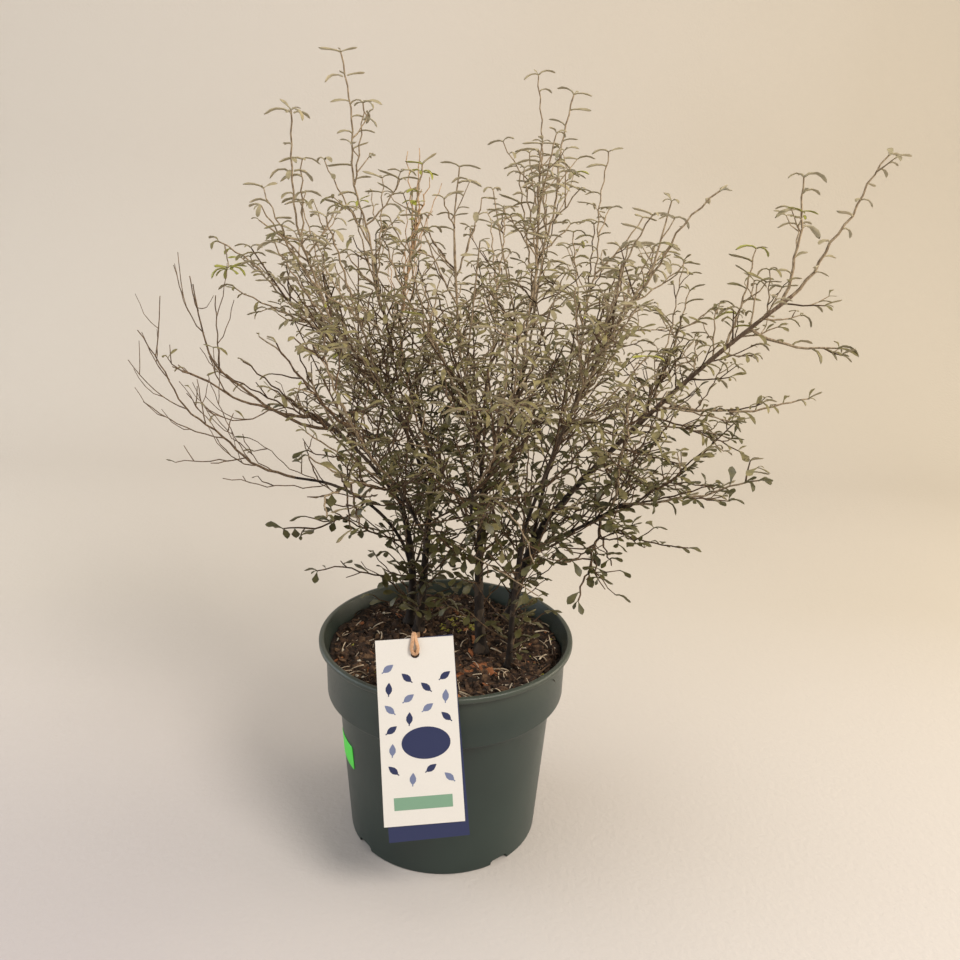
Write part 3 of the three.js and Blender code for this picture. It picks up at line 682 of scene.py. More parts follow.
def has_room(points, radius, owner=None, slack=0.0, lowest=LOWEST_TWIG):
    """True where every point is clear of pot, tag and limbs, and in the owner's space."""
    points = np.asarray(points, float).reshape(-1, 3)
    low = points[:, 2] < lowest
    by_tag = (points[:, 2] < TAG_TOP) & (points[:, 0] < TAG_RIGHT) & (points[:, 1] < TAG_BACK)
    in_limb = (limb_paths.distances(points) < limb_radii + LIMB_MARGIN + radius).any(1)
    if (low | by_tag | in_limb).any():
        return False
    if owner is None:
        return True
    gaps = leader_paths.distances(points)
    own = gaps[:, leader_numbers[owner]].copy()
    gaps[:, leader_numbers[owner]] = np.inf
    return bool((gaps.min(1) >= own + SPACE_MARGIN + radius - slack).all())


print("segments to keep clear of", len(limb_paths.starts), "and", len(leader_paths.starts))

# %% [markdown]
# ## Twigs, node by node
# Corokia bears one leaf at each node, about every six millimetres, and the twig
# turns slightly there. So each path is first smoothed, then cut into nodes, and
# every second node is set a little to one side.

# %% Node paths
NODE_GAP = 6.0
ZIGZAG = 0.5
SMOOTH_STEPS = 8


def smoothed(points, steps=SMOOTH_STEPS):
    """A Catmull-Rom curve through the points."""
    ends = np.vstack([2 * points[0] - points[1], points, 2 * points[-1] - points[-2]])
    t = np.arange(steps)[:, None] / steps
    pieces = []
    for a, b, c, d in zip(ends, ends[1:], ends[2:], ends[3:]):
        pieces.append(0.5 * (2 * b + (c - a) * t + (2 * a - 5 * b + 4 * c - d) * t ** 2
                             + (3 * b - a - 3 * c + d) * t ** 3))
    return np.vstack(pieces + [points[-1:]])


def spaced(points, gap):
    """The same line with its points an equal distance apart."""
    lengths = np.concatenate([[0], np.cumsum(np.linalg.norm(np.diff(points, axis=0), axis=1))])
    wanted = np.linspace(0, lengths[-1], max(int(round(lengths[-1] / gap)), 2) + 1)
    return np.column_stack([np.interp(wanted, lengths, points[:, k]) for k in range(3)])


def zigzagged(points, size, turn):
    across, above = square_to(unit(points[-1] - points[0]))
    side = across * math.cos(turn) + above * math.sin(turn)
    signs = np.where(np.arange(len(points)) % 2 == 0, 1, -1)[:, None] * size
    signs[0] = 0
    return points + side * signs


def bowed_path(foot, direction, length, lift):
    """A twig that sets off lower than its mean direction and lifts towards its tip."""
    steps = max(int(round(length / NODE_GAP)), 2)
    rise = np.array((0, 0, lift))
    points = [foot]
    for i in range(steps):
        heading = unit(direction + rise * ((i + 0.5) / steps - 0.5))
        points.append(points[-1] + heading * length / steps)
    return np.array(points)


print("points on a twig of 60 mm", len(bowed_path(np.zeros(3), np.array((0, 0, 1.0)), 60, 0)))

# %% [markdown]
# ## Growing each mass
# First the leader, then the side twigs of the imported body. Long thin shoots go
# up beside the leader, which gives the crown its wiry, broom-like look, and
# finer twigs fill the lower half. The outer part of a leader has leaves only.
# The twigs of one spray share a tint.

# %% Sizes of the finer growth
SHOOTS = 4
SHOOT_SHARE = 0.58
FINE_SPACING = 26.0
FINE_REACH = 0.62
SUB_SPACING = 20.0
SHOOT_TWIG_SPACING = 22.0
SUB_REACH = (0.35, 0.75)
SUB_FULL_REACH = 0.6
SUB_LONGEST = 24
SUB_SHORTEST = 5
ON_SHOOT_SHORTEST = 6
FINE_SLACK = 14
SIDE_BOW = 0.8
SIDE_LEAFY = 0.8
SUB_LEAF_SIZE = 0.85
SHOOT_BOW = 0.5
SHOOT_LEAFY = 0.85
SHOOT_REACH = 0.35
SIDE_TWIG_RADII = (0.58, 0.36)
SUB_TWIG_RADII = (0.44, 0.3)
SHOOT_RADII = (0.72, 0.4)
LEADER_THINNING = (0.8, 0.62)
BARE_THINNING = (0.95, 0.42)
TWIGLESS_ABOVE = 0.75
LEADER_LEAFY = 0.9
SLIM_SPREAD = 40
SLIM_LEAFY = 1.35
SLIM_LEAVES = 1.2
BARE_REACH = 1.3
ON_BARE_REACH = 0.8
BARE_SPACING = 26
BARE_RADII = (0.44, 0.3, 0.2)
LOW_WOOD = 262
THINNED_FROM = 270
THINNED_TO = 370
THINNEST = 0.5
LEAF_GAP = 9.0
LEAF_FORK = 60
LEAF_SIZES = (0.7, 1.15)
SPUR_SHARE = 0.15
SPUR_FORK = 50
SPUR_SIZES = (0.4, 0.7)
TIP_SIZES = (0.8, 1.1)
LEAF_RISE = (-22, 46)
LEAVES_LEVEL_OUT = ((300, 400), (1, 0.5))
LEAF_LIFT = 0.25
FACE_PLAY = 0.9
ROLL_BETWEEN_LEAVES = 60
SPUR_ROLLS = (60, 300)
LIME_SHARE = 0.4
LIME_CHANCE = 0.02
TINT_FROM = 238
TINT_OVER = 185
TINT_PLAY = 0.5
DARK_BELOW = 0.2
GREY_ABOVE = 0.8
LEAF_GROWS = ((300, 400), (0.9, 1.06))
LEAVES_THIN_OUT = ((320, 400), (1, 0.62))
TWIG_PALES = (265, 420)
PALE_LEADERS = 270
SPOON_BELOW = 265
SPOON_BLEND = 45
SPOON_LARGEST = 1.0
# The tuft at a tip: turn round the twig, angle from it, share of the size.
TIP_LEAVES = ((0, 60, 1.0), (165, 55, 0.85), (80, 25, 0.5))
# Where the seeds of a growth start. Its twigs count up from there.
FINE_SEED, SHOOT_SEED = 500, 800
LIMB_SEED, MIDDLE_SEED, LOW_SEED = 90000, 6000, 8000
TUFT_SEED, DRY_SEED, FREE_SEED, FREE_TWIG_SEED = 8600, 8700, 8800, 8900
# Masses whose twigs show few leaves, and their leafy share here.
THIN_LEAVED = {"crown_left": 0.4, "crown_back_left": 0.7, "sprig_low_left": 0.45, "skirt_front_left": 0.4,
               "skirt_right": 0.4, "crown_front_left": 0.5, "crown_left_inner": 0.7, "crown_upper_left": 0.75,
               "crown_front_right": 0.75, "crown_mid": 0.8, "crown_back": 0.8, "low_centre": 0.6,
               "bare_left_lower": 0.08}
# Masses with fewer side twigs, by share, and with fewer long shoots.
FEW_TWIGS = {"crown_left": 0.5, "crown_front_left": 0.7}
FEW_SHOOTS = {"crown_left": 1, "crown_front_left": 2, "crown_left_inner": 2, "crown_back_left": 3}
print("masses with few leaves", len(THIN_LEAVED))

# %% Leaves on a twig
twigs = {tint: [] for tint in TWIG_FINISHES}
leaves = {tint: [] for tint in LEAF_TOPS}


def spray_tint(height, draw):
    """Dark low down, olive in the middle and grey-green on top."""
    if draw() < LIME_CHANCE:
        return "lime"
    lightness = (height - TINT_FROM) / TINT_OVER + TINT_PLAY * (draw() - 0.5)
    if lightness < DARK_BELOW:
        return "dark"
    return "olive" if lightness < GREY_ABOVE else "grey"


def add_leaf(tint, root, away, size, draw):
    """One leaf reaches out nearly level, arches over and turns its face up."""
    level = unit((away[0], away[1], 0.001))
    upright = float(np.interp(root[2], *LEAVES_LEVEL_OUT))
    rise = math.radians(between(LEAF_RISE, draw()) * upright) + LEAF_LIFT * away[2]
    aim = level * math.cos(rise) + np.array((0, 0, math.sin(rise)))
    face = np.array((0, 0, 1.0)) + FACE_PLAY * (np.array((draw(), draw(), draw())) - 0.5)
    side = unit(np.cross(aim, face))
    spoon = root[2] < SPOON_BELOW + SPOON_BLEND * (draw() - 0.5) * 2
    size = min(size, SPOON_LARGEST) if spoon else size * np.interp(root[2], *LEAF_GROWS)
    leaf = {"root": root, "side": side, "aim": aim, "size": size, "spoon": spoon, "pick": draw()}
    if tint == "young":
        tint = "lime"
    elif tint == "lime" and draw() > LIME_SHARE:
        tint = "olive"
    leaves[tint].append(leaf)


def dress(path, tint, first, density, draw, size=1.0):
    """Leaves at the nodes of a path, on alternate sides, and a tuft at its tip."""
    nodes = spaced(path, LEAF_GAP)
    roll = 360 * draw()
    last = len(nodes) - 1
    for i in range(1, last):
        roll += 180 + ROLL_BETWEEN_LEAVES * (draw() - 0.5)
        if i / last < first or draw() > density * np.interp(nodes[i][2], *LEAVES_THIN_OUT):
            continue
        along = unit(nodes[i] - nodes[i - 1])
        away = forked_from(along, LEAF_FORK, roll)
        add_leaf(tint, nodes[i], away, size * between(LEAF_SIZES, draw()), draw)
        while draw() < SPUR_SHARE:
            away = forked_from(along, SPUR_FORK, roll + between(SPUR_ROLLS, draw()))
            add_leaf(tint, nodes[i], away, size * between(SPUR_SIZES, draw()), draw)
    along = unit(nodes[last] - nodes[last - 1])
    for turn, fork, share in TIP_LEAVES:
        away = forked_from(along, fork, roll + turn)
        if draw() < density + 0.1:
            add_leaf(tint, nodes[last], away, size * share * between(TIP_SIZES, draw()), draw)


print("leaf tints", list(leaves))


# %% Twigs that fork
def add_twig(kind, path, radii, turn=0.0, size=ZIGZAG):
    path = zigzagged(path, size, turn)
    twigs[kind].append((path, np.linspace(radii[0], radii[1], len(path))))
    return path


def forks(kind, path, spread, count, seed, owner=None, slack=0.0, lowest=LOWEST_TWIG):
    """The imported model's rule for side twigs, on any host line."""
    first, last, fork_range, shortening, lift = FORKS[kind]
    found = []
    for k in range(count):
        draw = seeded(seed + k)
        t = first + (last - first) * (k + draw()) / count
        roll = k * GOLDEN_ANGLE + ROLL_PLAY * draw()
        fork = between(fork_range, draw())
        reach = spread * (1 - shortening * t) * between(REACH_SHARE, draw())
        direction = forked_from(direction_along(path, t), fork, roll)
        direction = unit(direction + np.array((0, 0, lift * draw())))
        foot = point_along(path, t)
        for share in SHORTER_TRIES:
            tested = foot + np.outer(np.array(TESTED_PLACES) * reach * share, direction)
            if has_room(tested, TWIG_RADIUS, owner, slack, lowest):
                found.append({"foot": foot, "direction": direction, "length": reach * share,
                              "seed": seed + k, "at": t})
                break
    return found


def twig_kind(height, leafy, draw):
    """Bare ones apart, else dark low down and tan higher up."""
    if leafy < 0.1:
        return "bare"
    low, high = TWIG_PALES
    return "grey" if draw() < (height - low) / (high - low) else "brown"


def kept_here(row):
    """High in the crown fewer side twigs grow, and the sky shows."""
    share = np.interp(row["foot"][2], (THINNED_FROM, THINNED_TO), (1, THINNEST))
    return seeded(row["seed"] * 4 + 1)() < share


print("twig kinds", list(twigs))


# %% Twigs with twigs of their own
def side_growth(row, leafy, owner, level=1, branching=True):
    """One side twig with its leaves, and its own shorter twigs."""
    draw = seeded(row["seed"] * 8 + level)
    radii = SIDE_TWIG_RADII if level == 1 else SUB_TWIG_RADII
    foot, length = row["foot"], row["length"]
    kind = twig_kind(foot[2], leafy, draw)
    path = bowed_path(foot, row["direction"], length, SIDE_BOW * draw())
    path = add_twig(kind, path, radii, FULL_TURN * draw())
    tint = spray_tint(foot[2], draw)
    if leafy > 0:
        dress(path, tint, 0.15, SIDE_LEAFY * leafy, draw, SUB_LEAF_SIZE if level == 2 else 1)
    if level == 2 or not branching:
        return
    count = round(length / SUB_SPACING * (1 if foot[2] > LOW_WOOD else 0.5))
    spread = min(length * between(SUB_REACH, draw()), SUB_LONGEST) / SUB_FULL_REACH
    for sub in forks("on_twig", path, spread, count, row["seed"] * 64 + 7, owner, FINE_SLACK):
        if sub["length"] > SUB_SHORTEST:
            side_growth(sub, leafy, owner, level=2)


def long_shoot(row, leafy, owner, spread):
    """A thin shoot beside a leader or up from a bough, with short leafy twigs."""
    draw = seeded(row["seed"] * 16 + 3)
    foot, length = row["foot"], row["length"]
    path = bowed_path(foot, row["direction"], length, SHOOT_BOW * draw())
    kind = twig_kind(foot[2] + 20, leafy, draw)
    path = add_twig(kind, path, SHOOT_RADII, FULL_TURN * draw(), 1.3 * ZIGZAG)
    dress(path, spray_tint(path[-1][2], draw), 0.3, SHOOT_LEAFY * leafy, draw)
    count = round(length / SHOOT_TWIG_SPACING)
    for side in forks("on_shoot", path, spread, count, row["seed"] * 32 + 11, owner, FINE_SLACK):
        if side["length"] > ON_SHOOT_SHORTEST:
            side_growth(side, leafy, owner, level=2)


def bare_twig(row, leafy, owner, level=1):
    """A long smooth twig that turns upward, with thinner ones on it and hardly a leaf."""
    draw = seeded(row["seed"] * 8 + level)
    path = bowed_path(row["foot"], row["direction"], row["length"], 0.5 + 1.1 * draw())
    path = add_twig("bare", path, BARE_RADII[level - 1:level + 1], FULL_TURN * draw(), 0.6 * ZIGZAG)
    if leafy > 0:
        dress(path, spray_tint(path[-1][2], draw), 0.4, leafy, draw, 0.8)
    if level == 2:
        return
    count = round(row["length"] / BARE_SPACING)
    spread = row["length"] * ON_BARE_REACH
    for sub in forks("on_bare", path, spread, count, row["seed"] * 64 + 7, owner, FINE_SLACK):
        bare_twig(sub, leafy, owner, level=2)


def grown():
    """How many twigs and leaves there are so far."""
    return {f"{tint} {kind}": len(rows) for kind, store in (("twigs", twigs), ("leaves", leaves))
            for tint, rows in store.items()}


print("before growth", sum(grown().values()))

# %% Grow every mass
for index, (name, leader) in enumerate(leaders.items()):
    seed = index + 1
    draw = seeded(seed * 77)
    line, length, spread = leader["path"], leader["length"], leader["spread"]
    leafy = min(leader["leafy"], THIN_LEAVED.get(name, 1))
    is_bare, slim = leafy < 0.2, spread < SLIM_SPREAD
    radii = np.multiply(leader["radius"], BARE_THINNING if is_bare else LEADER_THINNING)
    kind = "bare" if is_bare else "grey" if line[-1][2] > PALE_LEADERS else "brown"
    path = add_twig(kind, spaced(smoothed(line), NODE_GAP), radii, FULL_TURN * draw())
    if leafy > 0:
        tint = "lime" if name.startswith("shoot_lime") else spray_tint(line[-1][2], draw)
        share, size = (SLIM_LEAFY, SLIM_LEAVES) if slim else (LEADER_LEAFY, 1)
        dress(path, tint, 0.2, share * leafy, draw, size)
    count = round(length / TWIG_SPACING * FEW_TWIGS.get(name, 1))
    if is_bare:
        for row in forks("bare", line, spread * BARE_REACH, count, seed * 1000, name):
            bare_twig(row, leafy, name)
        continue
    for row in forks("side", line, spread, count, seed * 1000, name):
        if (slim or row["at"] < TWIGLESS_ABOVE) and kept_here(row):
            side_growth(row, leafy, name)
    if slim:
        continue
    fine = round(length / FINE_SPACING)
    for row in forks("fine", line, spread * FINE_REACH, fine, seed * 1000 + FINE_SEED, name, FINE_SLACK):
        if kept_here(row):
            side_growth(row, leafy, name, branching=False)
    count = FEW_SHOOTS.get(name, SHOOTS)
    for row in forks("shoot", line, length * SHOOT_SHARE, count, seed * 1000 + SHOOT_SEED, name, FINE_SLACK):
        long_shoot(row, leafy, name, spread * SHOOT_REACH)
print("after the masses", grown())

# %% [markdown]
# Short leafy twigs also grow from the boughs and from the stems, and a few thin
# shoots go up through the middle. They close the middle of the crown, which is
# its densest part, and the stems' own low twigs hang over the peat.

# %% Grow twigs on the limbs
LIMB_TWIG_SPACING = 9.5
LIMB_TWIG_SHARES = {"bough_far_right": 0.6, "bough_left": 1.6}
# Boughs with fewer leaves on their twigs than the others.
LIMB_LEAFY = {"bough_low_left": 0.0, "bough_left": 0.3}
# Heights between which fewer twigs are kept, and their share.
OPEN_BAND = ((190, 212, 240, 258), (1, 0.45, 0.45, 1))
# On an ordinary limb and on a long one.
LIMB_TWIG_SPREAD = (42, 34)
LONG_LIMB = 200
STEM_LEAFY = 0.7
BOUGH_LEAFY = 0.85
LOW_LEAFY = 0.9
# On the right stems and on the left ones.
LOW_TWIGS = (7, 15)
LOW_SPREAD = 36
MIDDLE_SHOOTS = 6
MIDDLE_SHOOT_REACH = 100
MIDDLE_TWIG_SPREAD = 20
LOWEST_STEM_TWIG = 141

for index, (name, limb) in enumerate(limbs.items()):
    leafy = LIMB_LEAFY.get(name, BOUGH_LEAFY)
    is_stem, is_long = limb["is_stem"], limb["length"] > LONG_LIMB
    kind = "on_stem" if is_stem else "on_bough"
    path = smoothed(limb["path"])
    spacing = LIMB_TWIG_SPACING * LIMB_TWIG_SHARES.get(name, 1)
    count = int(limb["length"] * (1 - FORKS[kind][0]) / spacing)
    seed = LIMB_SEED + index * 100
    for row in forks(kind, path, LIMB_TWIG_SPREAD[is_long], count, seed):
        if seeded(row["seed"] * 4 + 3)() < np.interp(row["foot"][2], *OPEN_BAND):
            side_growth(row, STEM_LEAFY if is_stem else leafy, None)
    if leafy > 0 and not is_long:
        for row in forks("middle", path, MIDDLE_SHOOT_REACH, MIDDLE_SHOOTS, seed + MIDDLE_SEED):
            long_shoot(row, leafy, None, MIDDLE_TWIG_SPREAD)
    if is_stem:
        count = LOW_TWIGS[name.startswith("stem_left")]
        for row in forks("low", path, LOW_SPREAD, count, seed + LOW_SEED, lowest=LOWEST_STEM_TWIG):
            side_growth(row, LOW_LEAFY, None, branching=False)
print("after the limbs", grown())

# %% [markdown]
# Some shoots stand out by themselves: two pale ones that arch forward over the
# pot, a thin one that leaves low on the left, short ones below the far right
# bough, bare ones on the left, steep leafy ones that thicken the middle, and
# short ones that reach out in front and behind. Tufts of leaves sit at a few
# tips, and a bundle of dry tan strands hangs along one of the middle shoots.

# %% Shoots that stand out
# Name, host, place on it, azimuth, rise, length, and leafy share and kind of twig if not USUAL.
FREE_SHOOTS = [
    ("front_arching", "bough_front", 0.92, (-64, -40), (30, -72), 72, 0.25, "grey"),
    ("front_low", "stem_left_front", 0.66, (-78, -24), (16, -22), 118, 0.2, "grey"),
    ("low_runner", "stem_left_back", 0.16, (-142, -160), (62, -2), 84, 0.2, "brown"),
    ("right_hanging_low", "bough_far_right", 0.33, (-52, -25), (10, -12), 54),
    ("right_hanging_mid", "bough_far_right", 0.43, (-32, -8), (12, -12), 60, 0.9, "grey"),
    ("right_hanging_high", "bough_far_right", 0.52, (-46, -20), (4, -8), 48, 0.9, "grey"),
    ("middle_left_high", "stem_left_front", 0.97, (-62, -44), (66, 80), 118),
    ("middle_right", "stem_centre", 0.97, (-24, 6), (54, 78), 112),
    ("middle_low", "bough_front", 0.95, (-10, 20), (50, 74), 96),
    ("middle_inner", "bough_inner_right", 0.2, (-150, -120), (58, 76), 90),
    ("middle_between", "stem_centre", 0.6, (-8, 14), (52, 72), 104),
    ("middle_knot", "stem_left_front", 1.0, (-100, -70), (72, 84), 96),
    ("right_hanging_more", "bough_far_right", 0.48, (-40, -14), (-4, -22), 62),
    ("middle_back", "stem_left_front", 0.8, (40, 62), (60, 76), 120),
    ("middle", "stem_centre", 0.92, (-146, -160), (60, 78), 118),
    ("middle_front", "bough_front", 0.7, (-160, -176), (52, 78), 105),
    ("low_right_rising", "bough_low_right", 0.7, (-6, 12), (26, 52), 110),
    ("low_right_front", "bough_low_right", 0.9, (-50, -30), (30, 56), 80, 0.8, "brown"),
    ("under_far_right", "bough_far_right", 0.14, (-34, -12), (24, -2), 96),
    ("over_far_right", "bough_far_right", 0.42, (30, 48), (62, 84), 112, 0.9, "grey"),
    ("bare_reaching_out", "bare_low_left", 0.25, (184, 178), (-6, -1), 46, 0.0, "bare"),
    ("bare_low_a", "bare_low_left", 0.1, (160, 172), (30, 52), 60, 0.0, "bare"),
    ("bare_low_b", "bare_low_left", 0.35, (150, 170), (34, 60), 52, 0.0, "bare"),
    ("bare_beside", "bough_low_left", 0.6, (168, 160), (12, 36), 88, 0.05, "bare"),
    ("bare_below", "bough_low_left", 0.8, (-168, -178), (-4, 14), 70, 0.1, "bare"),
    ("front_reaching", "crown_front", 0.86, (-100, -86), (8, 34), 42),
    ("front_reaching_left", "crown_front_left", 0.85, (-92, -84), (4, 36), 46),
    ("front_reaching_low", "crown_front", 0.6, (-88, -98), (-4, 22), 54),
    ("back_reaching", "crown_back", 0.86, (96, 82), (10, 36), 46),
    ("back_reaching_low", "crown_back", 0.6, (78, 94), (-2, 24), 58),
    ("back_reaching_left", "crown_back_left", 0.85, (100, 88), (6, 34), 50),
    ("back_reaching_right", "crown_back_right", 0.85, (70, 84), (6, 32), 50),
]
USUAL = (0.9, "brown")
# On a bare shoot and on a leafy one.
FREE_TWIG_SPACING = (28, 16)
FREE_TWIG_SPREAD = 24
# Tufts of leaves: tint, host, place on it, count of leaves, size. The first hangs below its host.
LIME_HANGS = 15
TUFTS = [
    ("young", "shoot_lime_left", 0.97, 9, 1.0), ("young", "shoot_lime_centre", 0.97, 7, 0.7),
    ("young", "shoot_lime_centre", 0.82, 3, 0.6), ("young", "shoot_tall_left", 0.53, 4, 0.6),
    ("young", "stem_left_front", 0.97, 4, 0.7), ("young", "crown_back", 0.62, 3, 0.6),
    ("young", "crown_mid", 0.3, 3, 0.6), ("young", "shoot_inner_right", 0.4, 3, 0.6),
    ("young", "stem_centre", 0.9, 4, 0.6), ("young", "skirt_front_left", 0.4, 2, 0.6),
    ("young", "crown_back_right", 0.97, 3, 0.6), ("young", "far_right_shoot", 0.7, 3, 0.6),
    ("young", "shoot_left", 0.3, 2, 0.5), ("grey", "shoot_left", 0.99, 3, 1.1),
    ("grey", "shoot_left", 0.8, 3, 1.1), ("grey", "shoot_tall_left", 0.93, 3, 1.1),
    ("dark", "middle_left_high", 0.45, 10, 0.9), ("dark", "middle_left_high", 0.58, 10, 0.9),
    ("dark", "middle", 0.35, 9, 0.9), ("dark", "middle", 0.5, 9, 0.9),
    ("dark", "middle_right", 0.3, 8, 0.9), ("dark", "middle_right", 0.45, 8, 0.9),
    ("dark", "low_right_front", 0.5, 7, 1.0), ("dark", "bough_low_right", 0.95, 7, 1.0),
]
DRY_HOST = "shoot_lime_centre"
DRY_STRANDS = 18
DRY_LENGTH = 58
DRY_RADII = (0.52, 0.26)
print("shoots", len(FREE_SHOOTS), "tufts", len(TUFTS))

# %% Grow the shoots, the tufts and the strands
hosts = {**limbs, **leaders}
for number, (name, host, at, azimuth, rise, length, *other) in enumerate(FREE_SHOOTS):
    leafy, kind = other or USUAL
    draw = seeded(FREE_SEED + number)
    foot = point_along(smoothed(hosts[host]["path"]), at)
    path = spaced(smoothed(arc_path(foot, azimuth, rise, length, KINK)), NODE_GAP)
    path = add_twig(kind, path, SHOOT_RADII if leafy > 0.1 else BARE_RADII, FULL_TURN * draw())
    hosts[name] = {"path": path}
    dress(path, spray_tint(foot[2], draw), 0.2, leafy, draw)
    spacing = FREE_TWIG_SPACING[leafy > 0.1]
    seed = FREE_TWIG_SEED + 20 * number
    for row in forks("on_free_shoot", path, FREE_TWIG_SPREAD, round(length / spacing), seed):
        side_growth(row, leafy, None, level=2)
for number, (tint, host, at, count, size) in enumerate(TUFTS):
    draw = seeded(TUFT_SEED + number)
    path = smoothed(hosts[host]["path"])
    root, along = point_along(path, at), direction_along(path, at)
    if number == 0:
        hanging = arc_path(root, (-60, -40), (-62, -80), LIME_HANGS, KINK)
        add_twig("grey", hanging, SUB_TWIG_RADII)
        root, along = hanging[-1], unit(hanging[-1] - hanging[-2])
    for k in range(count):
        away = forked_from(along, 60 + 60 * draw(), GOLDEN_ANGLE * k)
        add_leaf(tint, root + 1.5 * away, away, size * (0.7 + 0.5 * draw()), draw)
path = leaders[DRY_HOST]["path"]
for row in forks("dry", path, DRY_LENGTH, DRY_STRANDS, DRY_SEED, DRY_HOST, FINE_SLACK):
    draw = seeded(row["seed"])
    path = bowed_path(row["foot"], row["direction"], row["length"], 0.7 * (draw() - 0.5))
    add_twig("dry", path, DRY_RADII, FULL_TURN * draw(), 2 * ZIGZAG)
print("with the free shoots", grown())

# %% [markdown]
# ## Twigs become solid
# Geometry Nodes turn each line into a curve, give it the thickness stored at its
# points and sweep a small ring along it. One tree with named inputs serves all
# the tints, and its result is kept as a plain mesh.

# %% Trees and the meshes they run on
def geometry_tree(name, **inputs):
    tree = bpy.data.node_groups.new(name, "GeometryNodeTree")
    tree.interface.new_socket("Geometry", in_out="OUTPUT", socket_type="NodeSocketGeometry")
    tree.interface.new_socket("Geometry", in_out="INPUT", socket_type="NodeSocketGeometry")
    for label, kind in inputs.items():
        tree.interface.new_socket(label, in_out="INPUT", socket_type=kind)
    graph = Graph(tree)
    return graph, graph.node("NodeGroupInput"), graph.node("NodeGroupOutput")


def close_tree(graph, out, geometry, *finishes):
    """Real geometry with one finish, and further ones on the faces that are picked for them."""
    geometry = graph.node("GeometryNodeRealizeInstances", {}, {"Geometry": geometry})
    for sockets in finishes:
        geometry = graph.node("GeometryNodeSetMaterial", {}, {"Geometry": geometry, **sockets})
    graph.feed(out.inputs[0], geometry)
    return graph.tree


def run_tree(base, tree, name, values):
    """Run a tree on a mesh that carries its points, and keep the result as a plain piece."""
    modifier = base.modifiers.new(tree.name, "NODES")
    modifier.node_group = tree
    for item in tree.interface.items_tree:
        if item.in_out == "INPUT" and item.name in values:
            modifier[item.identifier] = values[item.name]
    mesh = evaluated_mesh(base)
    bpy.data.objects.remove(base)
    mesh.name = name
    return in_scene(name, mesh)


def carrier(name, points, edges, **stored):
    """Points in millimetres, joined by edges or loose, with values stored at them by name."""
    mesh = bpy.data.meshes.new(name)
    mesh.from_pydata((np.asarray(points) * MM).tolist(), edges, [])
    for label, (kind, values) in stored.items():
        attribute = mesh.attributes.new(label, kind, "POINT")
        attribute.data.foreach_set("vector" if kind == "FLOAT_VECTOR" else "value", values)
    return in_scene(name, mesh)


print("geometry helpers ready")


# %% Sweep a ring along the twigs
def sweep_tree():
    graph, given, out = geometry_tree("sweep_ring", Sides="NodeSocketInt", Finish="NodeSocketMaterial")
    line = graph.node("GeometryNodeMeshToCurve", {}, {"Mesh": given["Geometry"]})
    ring = graph.node("GeometryNodeCurvePrimitiveCircle", {}, {"Resolution": given["Sides"], "Radius": 1.0})
    sweep = graph.node("GeometryNodeCurveToMesh", {},
                       {"Curve": line, "Profile Curve": ring, "Scale": graph.stored("FLOAT", "thickness"),
                        "Fill Caps": True})
    return close_tree(graph, out, sweep, {"Material": given["Finish"]})


def line_carrier(name, lines):
    """One mesh of edges for many lines, with the thickness of each point."""
    edges, start = [], 0
    for path, radii in lines:
        edges += [(start + i, start + i + 1) for i in range(len(path) - 1)]
        start += len(path)
    thickness = np.concatenate([radii for path, radii in lines]) * MM
    return carrier(name, np.concatenate([path for path, radii in lines]), edges,
                   thickness=("FLOAT", thickness))


SWEEP = sweep_tree()
TWIG_SIDES = 4
mass_names = [row[0] for row in MASSES]
for tint, lines in twigs.items():
    name = "twigs_" + tint
    piece = run_tree(line_carrier(name, lines), SWEEP, name,
                     {"Sides": TWIG_SIDES, "Finish": TWIG_FINISHES[tint]})
    keep(piece, "twigs" if tint in ("bare", "dry") else "foliage", *mass_names)
print(counts)

# %% [markdown]
# ## Leaves
# The real leaf is narrow, widest beyond its middle, arched outward and down,
# with a short stalk. Low shaded leaves are small spoons. A few shapes of some
# twenty faces are enough, set on every node by Geometry Nodes, each turned and
# sized by the values stored at its point.

# %% Leaf shapes of length one
LEAF_SHAPES = [
    # rise at the stalk, fall at the tip, sweep to the side, half width, widest place, stalk
    ("a_arched", 26, 62, 0, 0.115, 0.74, 0.16),
    ("b_flat", 18, 40, 8, 0.108, 0.7, 0.14),
    ("c_hooked", 30, 92, -6, 0.115, 0.78, 0.16),
    ("d_swept", 12, 18, 18, 0.118, 0.76, 0.15),
    ("e_spoon", 10, 28, 0, 0.225, 0.72, 0.34),
    ("f_spoon_cupped", 20, 52, -8, 0.2, 0.7, 0.3),
]
NARROW_SHAPES = 4
LEAF_PLACES = (0.0, 0.2, 0.48, 0.72, 0.9, 1.0)
LEAF_KEEL = 0.42
LEAF_THICKNESS = 0.075
STALK_WIDTH = 0.026
LEAF_STEPS = 40
TIP_FROM = 0.98


